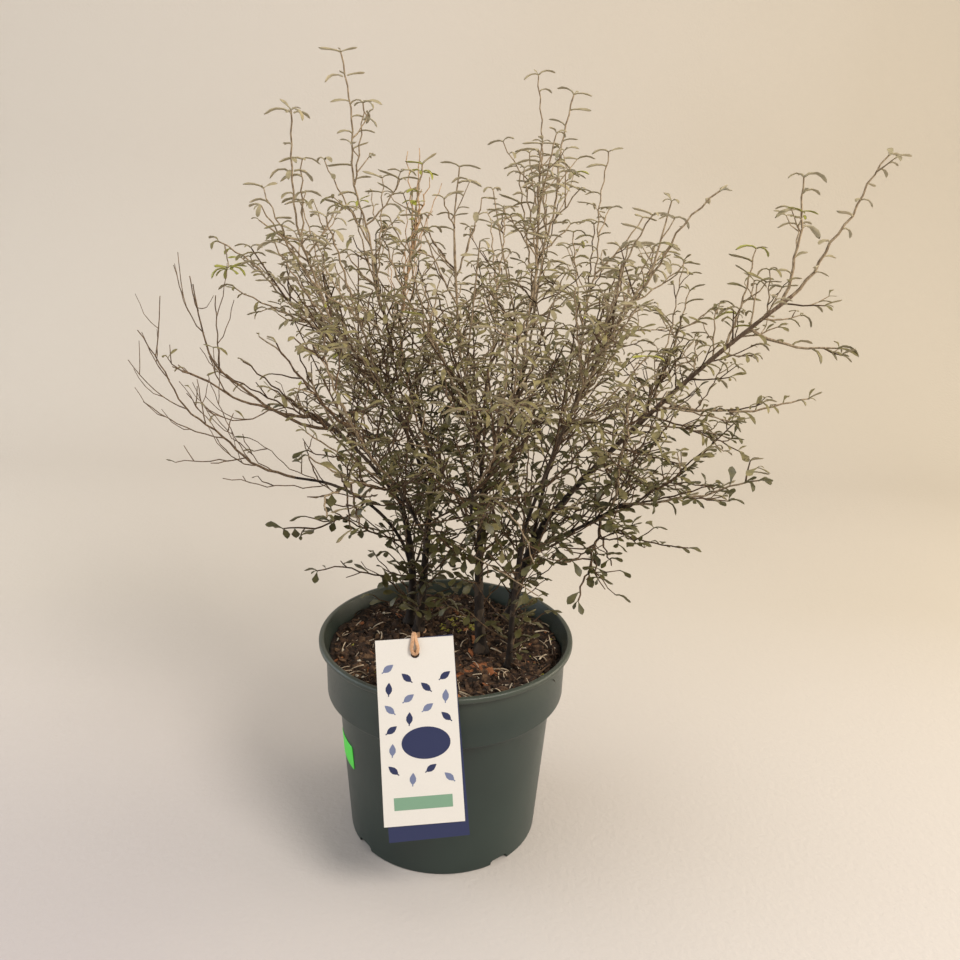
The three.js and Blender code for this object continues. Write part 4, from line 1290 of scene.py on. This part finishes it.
def leaf_shape(name, rise, fall, sweep, half_width, widest, stalk):
    """A closed leaf along +Y with its face up: a left edge, a keel above and below, a right edge."""
    places = np.array(LEAF_PLACES)
    blade = np.clip((places - stalk) / (1 - stalk), 0, 1)
    peak = (widest - stalk) / (1 - stalk)
    fading = np.clip((blade - peak) / (1 - peak), 0, 1)
    swell = np.where(blade < peak, np.sin(0.5 * math.pi * np.minimum(blade / peak, 1)) ** 1.2,
                     np.cos(0.5 * math.pi * fading) ** 0.75)
    widths = np.maximum(half_width * swell, STALK_WIDTH * (places < TIP_FROM))
    fine = np.linspace(0, 1, LEAF_STEPS + 1)
    pitch = np.radians(rise - (rise + fall) * fine)
    yaw = np.radians(sweep * fine)
    heading = np.column_stack([np.sin(yaw) * np.cos(pitch), np.cos(yaw) * np.cos(pitch), np.sin(pitch)])
    steps = 0.5 * (heading[1:] + heading[:-1]) / LEAF_STEPS
    line = np.vstack([[0, 0, 0], np.cumsum(steps, axis=0)])
    points = []
    for place, width in zip(places, widths):
        i = int(round(place * LEAF_STEPS))
        out = unit(np.cross(heading[i], (0, 0, 1)))
        above = np.cross(out, heading[i])
        keel = -LEAF_KEEL * width
        half = 0.5 * LEAF_THICKNESS * (1 if place < TIP_FROM else 0.4)
        points += [line[i] - out * width, line[i] + above * (keel + half),
                   line[i] + out * width, line[i] + above * (keel - half)]
    faces = tube_faces(len(places), 4)
    under = [0, 0, 1, 1] * (len(places) - 1) + [1, 1]
    mesh = bpy.data.meshes.new("leaf_" + name)
    mesh.from_pydata([tuple(p) for p in points], [], faces)
    mesh.attributes.new("under", "BOOLEAN", "FACE").data.foreach_set("value", under)
    mesh.polygons.foreach_set("use_smooth", [True] * len(faces))
    rims = mesh.attributes.new("sharp_edge", "BOOLEAN", "EDGE")
    rims.data.foreach_set("value", [all(v % 2 == 0 for v in edge.vertices) for edge in mesh.edges])
    return bpy.data.objects.new("leaf_" + name, mesh)


def shape_collection(name, shapes):
    collection = bpy.data.collections.new(name)
    for shape in shapes:
        collection.objects.link(shape)
    return collection


leaf_shapes = shape_collection("leaf_shapes", [leaf_shape(*row) for row in LEAF_SHAPES])
print("faces in a leaf", len(leaf_shapes.objects[0].data.polygons))


# %% Set the leaves on their nodes
LEAF_LENGTH = 12.8
SPOON_LENGTH = 12.5
MOST_LEAVES = 4300  # a piece stays under 200,000 triangles


def shapes_on(graph, given, points, turn, size, picked=None):
    """A tree's given shapes set on points, each turned and sized."""
    apart = {"Collection": given["Shapes"], "Separate Children": True, "Reset Children": True}
    shapes = graph.node("GeometryNodeCollectionInfo", {"transform_space": "ORIGINAL"}, apart)
    rotation = graph.node("FunctionNodeEulerToRotation", {}, {0: turn})
    sockets = {"Points": points, "Instance": shapes, "Pick Instance": True, "Rotation": rotation,
               "Scale": size}
    if picked:
        sockets["Instance Index"] = picked
    return graph.node("GeometryNodeInstanceOnPoints", {}, sockets)


def leaves_tree():
    graph, given, out = geometry_tree("set_leaves", Shapes="NodeSocketCollection",
                                      Top="NodeSocketMaterial", Underside="NodeSocketMaterial")
    points = graph.node("GeometryNodeMeshToPoints", {}, {"Mesh": given["Geometry"]})
    leaf = shapes_on(graph, given, points, graph.stored("FLOAT_VECTOR", "turn"),
                     graph.stored("FLOAT", "size"), graph.stored("INT", "kind"))
    under = {"Selection": graph.stored("BOOLEAN", "under"), "Material": given["Underside"]}
    return close_tree(graph, out, leaf, {"Material": given["Top"]}, under)


def leaf_carrier(name, rows):
    turns, sizes, kinds = [], [], []
    for row in rows:
        face = np.cross(row["side"], row["aim"])
        turns += list(Matrix((row["side"], row["aim"], face)).transposed().to_euler())
        spoon, pick = row["spoon"], row["pick"]
        kinds.append(NARROW_SHAPES + int(pick * 2) if spoon else int(pick * NARROW_SHAPES))
        sizes.append(row["size"] * MM * (SPOON_LENGTH if spoon else LEAF_LENGTH))
    return carrier(name, [row["root"] for row in rows], [], turn=("FLOAT_VECTOR", turns),
                   size=("FLOAT", sizes), kind=("INT", kinds))


SET_LEAVES = leaves_tree()
for tint, rows in leaves.items():
    assert len(rows) <= MOST_LEAVES
    name = "leaves_" + tint
    piece = run_tree(leaf_carrier(name, rows), SET_LEAVES, name,
                     {"Shapes": leaf_shapes, "Top": LEAF_TOPS[tint], "Underside": LEAF_UNDERSIDES[tint]})
    keep(piece, "foliage", *mass_names)
print(counts)

# %% [markdown]
# ## Stems and boughs
# The limbs are thicker, so their bark has real relief: the outline of each ring
# is pushed in and out by a fine noise stretched along the limb, with a small
# swelling at every old leaf node. The foot of a stem flares into the peat.

# %% Bark relief
BARK_SIDES = 14
BARK_RING_GAP = 1.6
RIDGE = 0.16
KNOT = 0.14
KNOT_GAP = 8.5
FLARE_SPREAD = 1.9
FLARE_HEIGHT = 0.45 * 7
STEM_SWELL = 0.4
BOUGH_SHARE = 0.88


def frames_along(line, closed=False):
    """Each point of a line with two directions square to it, which don't twist on the way."""
    across = square_to(unit(line[1] - line[0]))[0]
    last = len(line) - 1
    for i, spot in enumerate(line):
        after = line[0] if closed and i == last else line[min(i + 1, last)]
        before = line[i - 1] if closed or i else line[0]
        along = unit(after - before)
        across = unit(across - along * across.dot(along))
        yield spot, across, np.cross(along, across)


def bark_limb(limb, seed):
    """Points and faces of one limb with ridges, knots and, on a stem, a flare."""
    line = spaced(smoothed(limb["path"]), BARK_RING_GAP)
    run = np.linspace(0, 1, len(line))
    place = run * BARK_RING_GAP * (len(line) - 1)
    thick = between(limb["radius"], run)
    if limb["is_stem"]:
        thick = thick * (1 + STEM_SWELL * (1 - run)) + FLARE_SPREAD * np.exp(-place / FLARE_HEIGHT)
    else:
        thick = thick * BOUGH_SHARE
    knots = np.exp(-((place / KNOT_GAP + seed * 0.37) % 1 - 0.5) ** 2 / 0.02) * KNOT
    angles = np.arange(BARK_SIDES) * 2 * math.pi / BARK_SIDES
    points = []
    for i, (spot, across, around) in enumerate(frames_along(line)):
        for angle in angles:
            c, s = math.cos(angle), math.sin(angle)
            grain = Vector((c * 1.7, s * 1.7, place[i] * 0.12 + seed * 9))
            ridge = noise.noise(grain) * RIDGE + noise.noise(grain * 3.1) * RIDGE * 0.5
            wide = thick[i] * (1 + knots[i]) + ridge * min(thick[i] / 1.5, 1)
            points.append(spot + (across * c + around * s) * wide)
    return points, tube_faces(len(line), BARK_SIDES)


for name, rows in (("stems", STEMS), ("boughs", BOUGHS)):
    names = [row[0] for row in rows]
    shapes = [bark_limb(limbs[limb], seed) for seed, limb in enumerate(names, 1)]
    piece = mesh_piece(name, *joined(shapes), BARK)
    face_outwards(piece)
    keep(piece, "bark", *names)
print({name: counts[name] for name in ("stems", "boughs")})

# %% [markdown]
# ## The pot
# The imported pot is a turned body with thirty-six sides. Here the same outline is
# turned in many more steps, with a rolled lip and rounded corners, and the
# drainage notches are cut through the foot as they are on a moulded pot.

# %% Pot sizes and outline
LIP_RADIUS = 85
LIP_HEIGHT = 4
LIP_WIDTH = 3.6
BAND_RADIUS = 80.2
BAND_HEIGHT = 38.8
BODY_RADIUS = 72.1
BASE_RADIUS = 65.2
LEDGE_HEIGHT = 6
POT_WALL = 1.6
POT_FLOOR = 6
NOTCH_WIDTH = 14
NOTCH_HEIGHT = 4.5
NOTCH_DEPTH = 3.5
FIRST_NOTCH_AZIMUTH = -52
NOTCH_COUNT = 4
SHARP_BEND = math.cos(math.radians(28))
POT_SEGMENTS = 160
LEDGE_TOP = POT_HEIGHT - BAND_HEIGHT
LEDGE_BOTTOM = LEDGE_TOP - LEDGE_HEIGHT


def rounded(centre, radius, start, end, steps=5):
    """A rounded corner of an outline: its centre, its radius and its angles in degrees."""
    angles = np.radians(np.linspace(start, end, steps))
    return [(centre[0] + radius * math.cos(a), centre[1] + radius * math.sin(a)) for a in angles]


pot_outline = [(0, 1.2), (56, 1.2), (58.5, 0)]
pot_outline += rounded((BASE_RADIUS - 1.2, 1.2), 1.2, -90, 0)
pot_outline += [(between((BASE_RADIUS, BODY_RADIUS), t), between((1.2, LEDGE_BOTTOM), t))
                for t in (0.02, 0.3, 0.6, 0.98)]
pot_outline += [(BODY_RADIUS + 1.0, LEDGE_BOTTOM + 2.0), (BODY_RADIUS + 3.2, LEDGE_TOP - 2.6),
                (BAND_RADIUS - 2.6, LEDGE_TOP - 0.4)]
pot_outline += rounded((BAND_RADIUS - 2.0, LEDGE_TOP + 1.6), 1.7, -50, 0)
pot_outline += [(BAND_RADIUS - 0.1, LEDGE_TOP + 20), (BAND_RADIUS, POT_HEIGHT - LIP_HEIGHT - 0.8)]
pot_outline += [(BAND_RADIUS + 0.5, POT_HEIGHT - LIP_HEIGHT)]
pot_outline += rounded((LIP_RADIUS - 1.4, POT_HEIGHT - LIP_HEIGHT + 1.4), 1.4, -90, 0)
pot_outline += rounded((LIP_RADIUS - 1.6, POT_HEIGHT - 1.6), 1.6, 0, 90)
pot_outline += rounded((LIP_RADIUS - LIP_WIDTH + 0.9, POT_HEIGHT - 0.9), 0.9, 90, 180)
pot_outline += [(BAND_RADIUS - POT_WALL, POT_HEIGHT - 6.5)]
pot_outline += [(BAND_RADIUS - POT_WALL - 1, LEDGE_TOP + 3), (BODY_RADIUS - POT_WALL, LEDGE_BOTTOM)]
pot_outline += [(BASE_RADIUS - POT_WALL, POT_FLOOR), (0, POT_FLOOR)]

print("points on the pot's outline", len(pot_outline))

pot = mesh_piece("pot_body", *turned(pot_outline, POT_SEGMENTS), POT)
face_outwards(pot)


# %% Cut the drainage notches
def notch_cutter(turn):
    """A block with a rounded top, across the wall at the foot."""
    half = [(0.5, -1), (0.5, 0.55), (0.36, 0.93)]
    outline = [(-x, z) for x, z in half] + [(0, 1)] + half[::-1]
    points = []
    for depth in (BASE_RADIUS - NOTCH_DEPTH, BASE_RADIUS + NOTCH_DEPTH):
        for x, z in outline:
            points.append((*rotated([(depth, x * NOTCH_WIDTH)], turn)[0], z * NOTCH_HEIGHT))
    return points, tube_faces(2, len(outline))


cutters = [notch_cutter(FIRST_NOTCH_AZIMUTH - 90 + i * 360 / NOTCH_COUNT) for i in range(NOTCH_COUNT)]
cutter = mesh_piece("notch_cutter", *joined(cutters), POT)
face_outwards(cutter)
cut = pot.modifiers.new("notches", "BOOLEAN")
cut.object = cutter
cut.solver = "EXACT"
pot_mesh = evaluated_mesh(pot)
pot.modifiers.clear()
pot.data = pot_mesh
bpy.data.objects.remove(cutter)
keep(pot, "pot", "pot")
body = bmesh.new()
body.from_mesh(pot.data)
for edge in body.edges:
    if len(edge.link_faces) == 2:
        edge.smooth = edge.link_faces[0].normal.dot(edge.link_faces[1].normal) > SHARP_BEND
body.to_mesh(pot.data)
body.free()
print("pot triangles", counts["pot_body"])

# %% [markdown]
# ## Peat
# Moist peat is crumbly. A lumpy sheet fills the pot, and Geometry Nodes scatter
# crumbs, fibres, bark chips and a few pale grains of perlite over it.

# %% The surface of the peat
SOIL_RADIUS = BAND_RADIUS - POT_WALL - 0.4
SOIL_RINGS = 46
SOIL_SEGMENTS = 150
LUMPS = ((0.045, 2.6), (0.16, 1.7), (0.5, 0.8))


def soil_height(x, y):
    lumps = sum(size * noise.noise(Vector((x * scale, y * scale, 3.7))) for scale, size in LUMPS)
    return SOIL_TOP - 1.1 + lumps


outline = [(0, POT_FLOOR + GAP), (BASE_RADIUS - POT_WALL - GAP - 0.1, POT_FLOOR + GAP),
           (BODY_RADIUS - POT_WALL - GAP - 0.1, LEDGE_BOTTOM), (SOIL_RADIUS - 1, LEDGE_TOP + 3.3)]
outline += [(SOIL_RADIUS * (1 - i / SOIL_RINGS), SOIL_TOP) for i in range(SOIL_RINGS)] + [(0, SOIL_TOP)]
points, faces = turned(outline, SOIL_SEGMENTS)
points = [(x, y, soil_height(x, y) if z == SOIL_TOP else z) for x, y, z in points]
soil = mesh_piece("peat", points, faces, PEAT)
face_outwards(soil)
keep(soil, "soil", "soil")
print("peat triangles", counts["peat"])


# %% What lies in the peat
STRAND_STEPS = 7
ROUND = 6.283


def chunk(name, size, roughness, seed):
    """A small broken lump."""
    lump = bmesh.new()
    bmesh.ops.create_icosphere(lump, subdivisions=1, radius=0.5)
    for vertex in lump.verts:
        push = 1 + roughness * noise.noise(vertex.co * 2.3 + Vector((seed, 0, 0)))
        vertex.co = vertex.co * push * Vector(size)
    mesh = bpy.data.meshes.new(name)
    lump.to_mesh(mesh)
    lump.free()
    return bpy.data.objects.new(name, mesh)


def strand(name, bends, thick):
    """A curled fibre of length one along +X."""
    points = []
    for t in np.linspace(0, 1, STRAND_STEPS + 1):
        wide = thick * (1 - 0.6 * t)
        bowed, lifted = bends[0] * math.sin(2.6 * t), bends[1] * math.sin(3.4 * t)
        points += [(t - 0.5, bowed + wide * math.cos(a), lifted + wide * math.sin(a)) for a in (0, 2.1, 4.2)]
    mesh = bpy.data.meshes.new(name)
    mesh.from_pydata(points, [], tube_faces(STRAND_STEPS + 1, 3))
    return bpy.data.objects.new(name, mesh)


lumps = shape_collection("lumps", [chunk(f"lump_{i}", (1, 0.8, 0.7), 0.9, 3.1 * i) for i in range(5)])
chips = shape_collection("chips", [chunk(f"chip_{i}", (1, 0.55, 0.22), 0.8, 5.3 * i) for i in range(4)])
bends = [(0.09, 0.05), (-0.18, 0.09), (0.27, 0.13), (-0.36, 0.17)]
strands = shape_collection("strands", [strand(f"strand_{i}", bend, 0.042) for i, bend in enumerate(bends)])


# %% Scatter them over the peat
def scatter_tree():
    graph, given, out = geometry_tree(
        "scatter", Shapes="NodeSocketCollection", Finish="NodeSocketMaterial", Density="NodeSocketFloat",
        Smallest="NodeSocketFloat", Largest="NodeSocketFloat", Tilt="NodeSocketFloat", Seed="NodeSocketInt")
    spots = graph.node("GeometryNodeDistributePointsOnFaces", {},
                       {"Mesh": given["Geometry"], "Density": given["Density"], "Seed": given["Seed"]})

    def random(smallest, largest, shift):
        return graph.node("FunctionNodeRandomValue", {"data_type": "FLOAT"},
                          {2: smallest, 3: largest, 8: given["Seed"] + shift})[1]

    tilts = [random(given["Tilt"] * -1, given["Tilt"], shift) for shift in (0, 1)]
    turn = graph.node("ShaderNodeCombineXYZ", {}, {"X": tilts[0], "Y": tilts[1], "Z": random(0.0, ROUND, 2)})
    laid = shapes_on(graph, given, spots, turn, random(given["Smallest"], given["Largest"], 3))
    return close_tree(graph, out, laid, {"Material": given["Finish"]})


SCATTER = scatter_tree()
SCATTER_RADIUS = SOIL_RADIUS - 3.5
GROUND_RINGS, GROUND_SIDES = 20, 40


def scatter_ground(name, middle, radius):
    """A round piece of the peat's top, as the ground that things are scattered on."""
    rings, sides = GROUND_RINGS, GROUND_SIDES
    disc = [middle]
    for reach in np.arange(1, rings + 1) * radius / rings:
        disc += [(middle[0] + reach * math.cos(a), middle[1] + reach * math.sin(a))
                 for a in np.arange(sides) * 2 * math.pi / sides]
    faces = [(0, 1 + s, 1 + (s + 1) % sides) for s in range(sides)]
    for low in range(1, 1 + (rings - 1) * sides, sides):
        high = low + sides
        faces += [(low + s, high + s, high + (s + 1) % sides, low + (s + 1) % sides) for s in range(sides)]
    return mesh_piece(name, [(x, y, soil_height(x, y)) for x, y in disc], faces, PEAT)


WHOLE = ((0, 0), SCATTER_RADIUS)
# Name, shapes, finish, how many to the square metre, smallest and largest in mm, tilt, seed, where.
LITTER = [
    ("peat_crumbs", lumps, CRUMB, 170000, 0.9, 3.6, 1.2, 11, WHOLE),
    ("peat_dark_crumbs", lumps, PEAT, 100000, 1.2, 4.6, 1.2, 12, WHOLE),
    ("peat_clods", lumps, CRUMB, 17000, 4.5, 9.5, 1.2, 19, WHOLE),
    ("bark_chips", chips, CHIP, 3000, 4.5, 10.5, 0.7, 13, WHOLE),
    ("dark_chips", chips, CRUMB, 14000, 4.0, 12.0, 0.9, 14, WHOLE),
    ("peat_fibres", strands, FIBRE, 14000, 5.0, 15.0, 0.8, 15, WHOLE),
    ("dark_fibres", strands, CRUMB, 16000, 6.0, 18.0, 0.8, 16, WHOLE),
    ("perlite_grains", lumps, PERLITE, 2600, 1.2, 3.4, 1.5, 17, WHOLE),
    ("moss_crumbs", lumps, MOSS, 3000, 1.2, 3.4, 1.5, 18, WHOLE),
    ("moss_patch", lumps, MOSS, 130000, 1.8, 5.0, 1.5, 20, ((8, 30), 13)),
    ("front_chips", chips, CHIP, 18000, 12.0, 18.0, 0.3, 21, ((19, -30), 8)),
    ("pale_bits", chips, PERLITE, 12000, 4.0, 7.5, 0.9, 22, ((30, 18), 11)),
]
for name, shapes, finish, density, smallest, largest, tilt, seed, where in LITTER:
    piece = run_tree(scatter_ground(name, *where), SCATTER, name,
                     {"Shapes": shapes, "Finish": finish, "Density": float(density), "Tilt": tilt,
                      "Smallest": smallest * MM, "Largest": largest * MM, "Seed": seed})
    keep(piece, "soil")
print({row[0]: counts[row[0]] for row in LITTER})
for collection in (lumps, chips, strands, leaf_shapes):
    for shape in list(collection.objects):
        bpy.data.objects.remove(shape)
    bpy.data.collections.remove(collection)

# %% [markdown]
# ## Hang tag
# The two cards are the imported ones, with card finishes. The print on the front
# is a plain design of its own: a sage band, a navy oval and loose leaves. It
# is made of very thin flat shapes laid on the card.

# %% Places on the tag
CARD_THICKNESS = 0.6
CARD_LEAN = 12
CARD_TILT = 3.4
CARD_YAW = 4.8
HOLE_BELOW_TOP = 9.5
HOLE_HEIGHT = CARD_HEIGHT / 2 - HOLE_BELOW_TOP
card_turn = Matrix.Identity(3)
for degrees, axis in ((CARD_YAW, "Z"), (90 - CARD_LEAN, "X"), (CARD_TILT, "Z")):
    card_turn = card_turn @ Matrix.Rotation(math.radians(degrees), 3, axis)


def on_tag(x, y, out):
    """A point on the card: across, up from its middle, and out of its front."""
    return CARD_MIDDLE + np.array(card_turn @ Vector((x, y, out)))


print("the tag's hole is at", on_tag(0, HOLE_HEIGHT, 0).round(1), "mm")

# %% Finish the cards
for node, finish in (("tag_card", CARD_WHITE), ("tag_backing", CARD_NAVY)):
    card = frame["nodes"][node]
    card.data.materials.clear()
    card.data.materials.append(finish)
    print(node, finish.name)

# %% Print on them
PRINT_HEIGHT = CARD_THICKNESS / 2 + 0.02
PRINT_THICKNESS = 0.05


def printed(name, outlines, finish):
    """Flat closed shapes on the card's front, from outlines that go round to the left."""
    levels = (PRINT_HEIGHT, PRINT_HEIGHT + PRINT_THICKNESS)
    shapes = [([on_tag(x, y, out) for out in levels for x, y in outline], tube_faces(2, len(outline)))
              for outline in outlines]
    keep(mesh_piece(name, *joined(shapes), finish, smooth=False), "card")


def ellipse(x, y, wide, high, steps=40):
    return [(x + wide * math.cos(a), y + high * math.sin(a)) for a in np.arange(steps) * 2 * math.pi / steps]


def loose_leaf(x, y, length, turn):
    """A pointed leaf with a short stalk."""
    half = [(0, 0.04), (0.14, 0.04), (0.22, 0.12), (0.4, 0.22), (0.62, 0.22), (0.84, 0.11)]
    side = [(u - 0.5, v) for u, v in half]
    ring = [(u, -v) for u, v in side] + [(0.5, 0)] + side[::-1]
    return [(x + length * u, y + length * v) for u, v in rotated(ring, turn)]


BAND_LOW, BAND_HIGH, BAND_HALF = -47.5, -39.5, 17.5
OVAL = (3.5, -6.5, 14.5, 10.0)  # middle, half width, half height
LEAF_COLUMNS = (-16.5, -5.5, 5.5, 16.5)
LEAF_ROWS = 7
TOP_ROW = 40
LEAF_ROW_GAP = 12.5
LOOSE_LEAF_LENGTH = 8.5
navy, slate = [], []
for column, x in enumerate(LEAF_COLUMNS):
    for row in range(LEAF_ROWS):
        y = TOP_ROW - row * LEAF_ROW_GAP - (column % 2) * LEAF_ROW_GAP / 2
        in_oval = math.hypot((x - OVAL[0]) / (OVAL[2] + 4), (y - OVAL[1]) / (OVAL[3] + 4)) < 1
        at_hole = abs(x) < 8 and abs(y - HOLE_HEIGHT) < 9
        if in_oval or at_hole or y < BAND_HIGH + 5:
            continue
        leaf = loose_leaf(x, y, LOOSE_LEAF_LENGTH, 35 + 50 * ((row + 2 * column) % 3))
        (navy if (row + column) % 2 else slate).append(leaf)
printed("print_navy", navy + [ellipse(*OVAL)], CARD_NAVY)
printed("print_slate", slate, CARD_SLATE)
band = [(-BAND_HALF, BAND_LOW), (BAND_HALF, BAND_LOW), (BAND_HALF, BAND_HIGH), (-BAND_HALF, BAND_HIGH)]
printed("print_sage", [band], CARD_SAGE)
print("printed shapes", len(navy) + len(slate) + 2)

# %% [markdown]
# ## Elastic tie
# A thin beige elastic band goes round the left front stem's foot, through the
# hole of the tag and over its top edge. It runs on a smooth line through points
# set on the stem and on the card.

# %% Sweep the tie
TIE_WIDTHS = (1.2, 0.7)
TIE_UP_STEM = 0.02
TIE_RING = 4.6
TIE_SAG = 5
TIE_STRANDS = (-1.9, 1.9)
BAND_SIDES = 8
RING_SUNK = 3.0
RING_STEPS = 28
RING_WIDTHS = (0.7, 0.7)


def band_shape(line, widths, closed=False):
    """A flat or round band along a line."""
    turns = [(math.cos(a), math.sin(a)) for a in np.arange(BAND_SIDES) * 2 * math.pi / BAND_SIDES]
    points = [spot + across * widths[0] * c + around * widths[1] * s
              for spot, across, around in frames_along(line, closed) for c, s in turns]
    return points, tube_faces(len(line), BAND_SIDES, closed)


knot = point_along(limbs["stem_left_front"]["path"], TIE_UP_STEM)
knot = knot - np.array((0, 0, RING_SUNK))
ring_front = knot + np.array((0, -TIE_RING, 0))
behind_hole = on_tag(0, HOLE_HEIGHT - 0.5, -8)
behind_top = on_tag(0, HOLE_HEIGHT + HOLE_BELOW_TOP + 0.5, -7)
sag = np.array((0, 0, -TIE_SAG))
# The doubled band: place up from the hole, out from the card, share of the strands' spread.
OVER_THE_CARD = [(0, -2, 0), (0, 0.9, 0.2), (1.6, 2.2, 0.7), (4.2, 2.3, 1),
                 (HOLE_BELOW_TOP - 1.5, 2.1, 0.6), (HOLE_BELOW_TOP + 1.6, 1, 0.35),
                 (HOLE_BELOW_TOP + 1.7, -2, 0.2)]


def tie_strand(spread):
    route = [ring_front, (ring_front + behind_hole) / 2 + sag, behind_hole]
    route += [on_tag(spread * share, HOLE_HEIGHT + rise, out) for rise, out, share in OVER_THE_CARD]
    route += [behind_top, (ring_front + behind_top) / 2 + sag, ring_front + np.array((0, 0, 0.4))]
    return band_shape(smoothed(np.array(route), 6), TIE_WIDTHS)


angles = np.arange(RING_STEPS) * 2 * math.pi / RING_STEPS
ring = [knot + TIE_RING * np.array((math.cos(a), math.sin(a), 0)) for a in angles]
shapes = [tie_strand(spread) for spread in TIE_STRANDS] + [band_shape(ring, RING_WIDTHS, closed=True)]
tie = mesh_piece("tie", *joined(shapes), ELASTIC)
face_outwards(tie)
keep(tie, "elastic", "tag_tie")
print("tie triangles", counts["tie"])

# %% [markdown]
# ## Price label
# A bright green label is stuck on the pot's left side. It is left blank. Its
# corners are rounded and it follows the pot's wall.

# %% The label
LABEL_WIDTH = 26
LABEL_HEIGHT = 18
LABEL_MIDDLE_HEIGHT = 69
LABEL_AZIMUTH = -157.3
LABEL_THICKNESS = 0.35
LABEL_CORNER = 1.6
LABEL_COLUMNS = 24
LABEL_ROWS = 12


def cell(i, j):
    return i * (LABEL_ROWS + 1) + j


def on_wall(u, v, lift):
    """A point of the label on the pot's wall, drawn in where a corner is rounded."""
    over_u = max(abs(u) - (LABEL_WIDTH / 2 - LABEL_CORNER), 0)
    over_v = max(abs(v) - (LABEL_HEIGHT / 2 - LABEL_CORNER), 0)
    reach = math.hypot(over_u, over_v)
    if reach > LABEL_CORNER:
        u -= math.copysign(over_u * (1 - LABEL_CORNER / reach), u)
        v -= math.copysign(over_v * (1 - LABEL_CORNER / reach), v)
    height = LABEL_MIDDLE_HEIGHT + v
    radius = between((BASE_RADIUS, BODY_RADIUS), (height - 1) / (LEDGE_BOTTOM - 1)) + lift
    angle = math.radians(LABEL_AZIMUTH) + u / radius
    return radius * math.cos(angle), radius * math.sin(angle), height


def label_shape():
    """Two layers of a bent grid, closed along the edge."""
    columns, rows = LABEL_COLUMNS, LABEL_ROWS
    points = [on_wall((i / columns - 0.5) * LABEL_WIDTH, (j / rows - 0.5) * LABEL_HEIGHT, lift)
              for lift in (0.05, LABEL_THICKNESS) for i in range(columns + 1) for j in range(rows + 1)]
    layer = len(points) // 2
    faces = []
    for i in range(columns):
        for j in range(rows):
            square = (cell(i, j), cell(i + 1, j), cell(i + 1, j + 1), cell(i, j + 1))
            faces += [square[::-1], tuple(k + layer for k in square)]
    edge = [cell(i, 0) for i in range(columns)] + [cell(columns, j) for j in range(rows)]
    edge += [cell(i, rows) for i in range(columns, 0, -1)] + [cell(0, j) for j in range(rows, 0, -1)]
    faces += [(a, b, b + layer, a + layer) for a, b in zip(edge, edge[1:] + edge[:1])]
    return points, faces


label = mesh_piece("label", *label_shape(), LABEL)
face_outwards(label)
keep(label, "label", "price_label")
print("label triangles", counts["label"])

# %% [markdown]
# ## Stage and light
# The shrub stands on a pale paper sweep. Its colour carries painted shade: darker
# and cooler in front on the left, darker and creamier behind on the right, under a
# soft painted mottle. One warm light from the upper right gives the soft shadow on
# the left, a weak cool one and one from above open the shade, and two low ones from
# behind brighten the edges.

# %% Paper sweep
SWEEP_WIDTH = 5.0
SWEEP_FRONT = -2.2
SWEEP_BACK = 0.75
SWEEP_RISE = 2.6
SWEEP_CURVE = 0.45


def paper_finish():
    paper = Finish("paper_cream", 0.85)
    # The colour is painted shade: darker and cooler in front on the left, darker and creamier behind on the
    # right; the cloud noise adds a soft painted mottle.
    cloud = (paper.noise(2.2, 2) - 0.5) * 0.6
    x = paper.along("X")
    near = paper.blend(x * 2.4 + 0.5 + cloud, seen(180, 174, 175), seen(194, 189, 186))
    far = paper.blend(x * 1.2 + 0.2 + cloud, seen(194, 187, 179), seen(182, 174, 162))
    colour = paper.blend(paper.along("Y") * 2 + 0.3, near, far)
    return paper.surface(colour, None, paper.noise(240, 3), 0.0004)


curve = [(SWEEP_FRONT, 0.0)]
curve += [(SWEEP_BACK + SWEEP_CURVE * math.sin(a), SWEEP_CURVE * (1 - math.cos(a)))
          for a in np.linspace(0, math.pi / 2, 16)]
curve += [(SWEEP_BACK + SWEEP_CURVE, SWEEP_RISE)]
points = [(side * SWEEP_WIDTH / 2 / MM, y / MM, z / MM) for y, z in curve for side in (-1, 1)]
faces = [(2 * i, 2 * i + 1, 2 * i + 3, 2 * i + 2) for i in range(len(curve) - 1)]
paper = mesh_piece("paper_sweep", points, faces, paper_finish())
print("paper faces", len(faces))

# %% Lights
# Name, place, size across, power, colour.
LIGHTS = [
    ("key", (1.0, -1.1, 1.6), 0.7, 34, (1.0, 0.93, 0.83)),
    ("fill", (-1.4, -1.0, 1.0), 1.6, 8, (0.86, 0.93, 1.0)),
    ("top", (0.1, 0.2, 1.8), 1.4, 9, (1.0, 0.96, 0.9)),
    ("right_edge", (1.4, 0.25, 0.5), 1.0, 13, (1.0, 0.88, 0.7)),
    ("left_edge", (-1.4, 0.25, 0.6), 1.2, 9, (0.88, 0.94, 1.0)),
]
CROWN_MIDDLE = Vector((0, 0, 0.28))
WORLD_COLOUR = (0.96, 0.88, 0.76, 1)
WORLD_STRENGTH = 0.42

for name, place, size, power, colour in LIGHTS:
    lamp = bpy.data.lights.new(name, "AREA")
    lamp.shape = "DISK"
    lamp.size, lamp.energy, lamp.color = size, power, colour
    turn = (CROWN_MIDDLE - Vector(place)).to_track_quat("-Z", "Y").to_matrix().to_4x4()
    in_scene(name, lamp).matrix_world = Matrix.Translation(place) @ turn
bpy.context.scene.view_settings.view_transform = "Standard"
world = bpy.data.worlds.new("studio")
bpy.context.scene.world = world
world.use_nodes = True
background = world.node_tree.nodes["Background"]
background.inputs["Color"].default_value = WORLD_COLOUR
background.inputs["Strength"].default_value = WORLD_STRENGTH
print("lights", len(LIGHTS))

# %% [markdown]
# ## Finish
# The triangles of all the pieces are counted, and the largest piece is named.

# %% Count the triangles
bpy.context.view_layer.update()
print("triangles", sum(counts.values()), "largest", max(counts, key=counts.get), max(counts.values()))
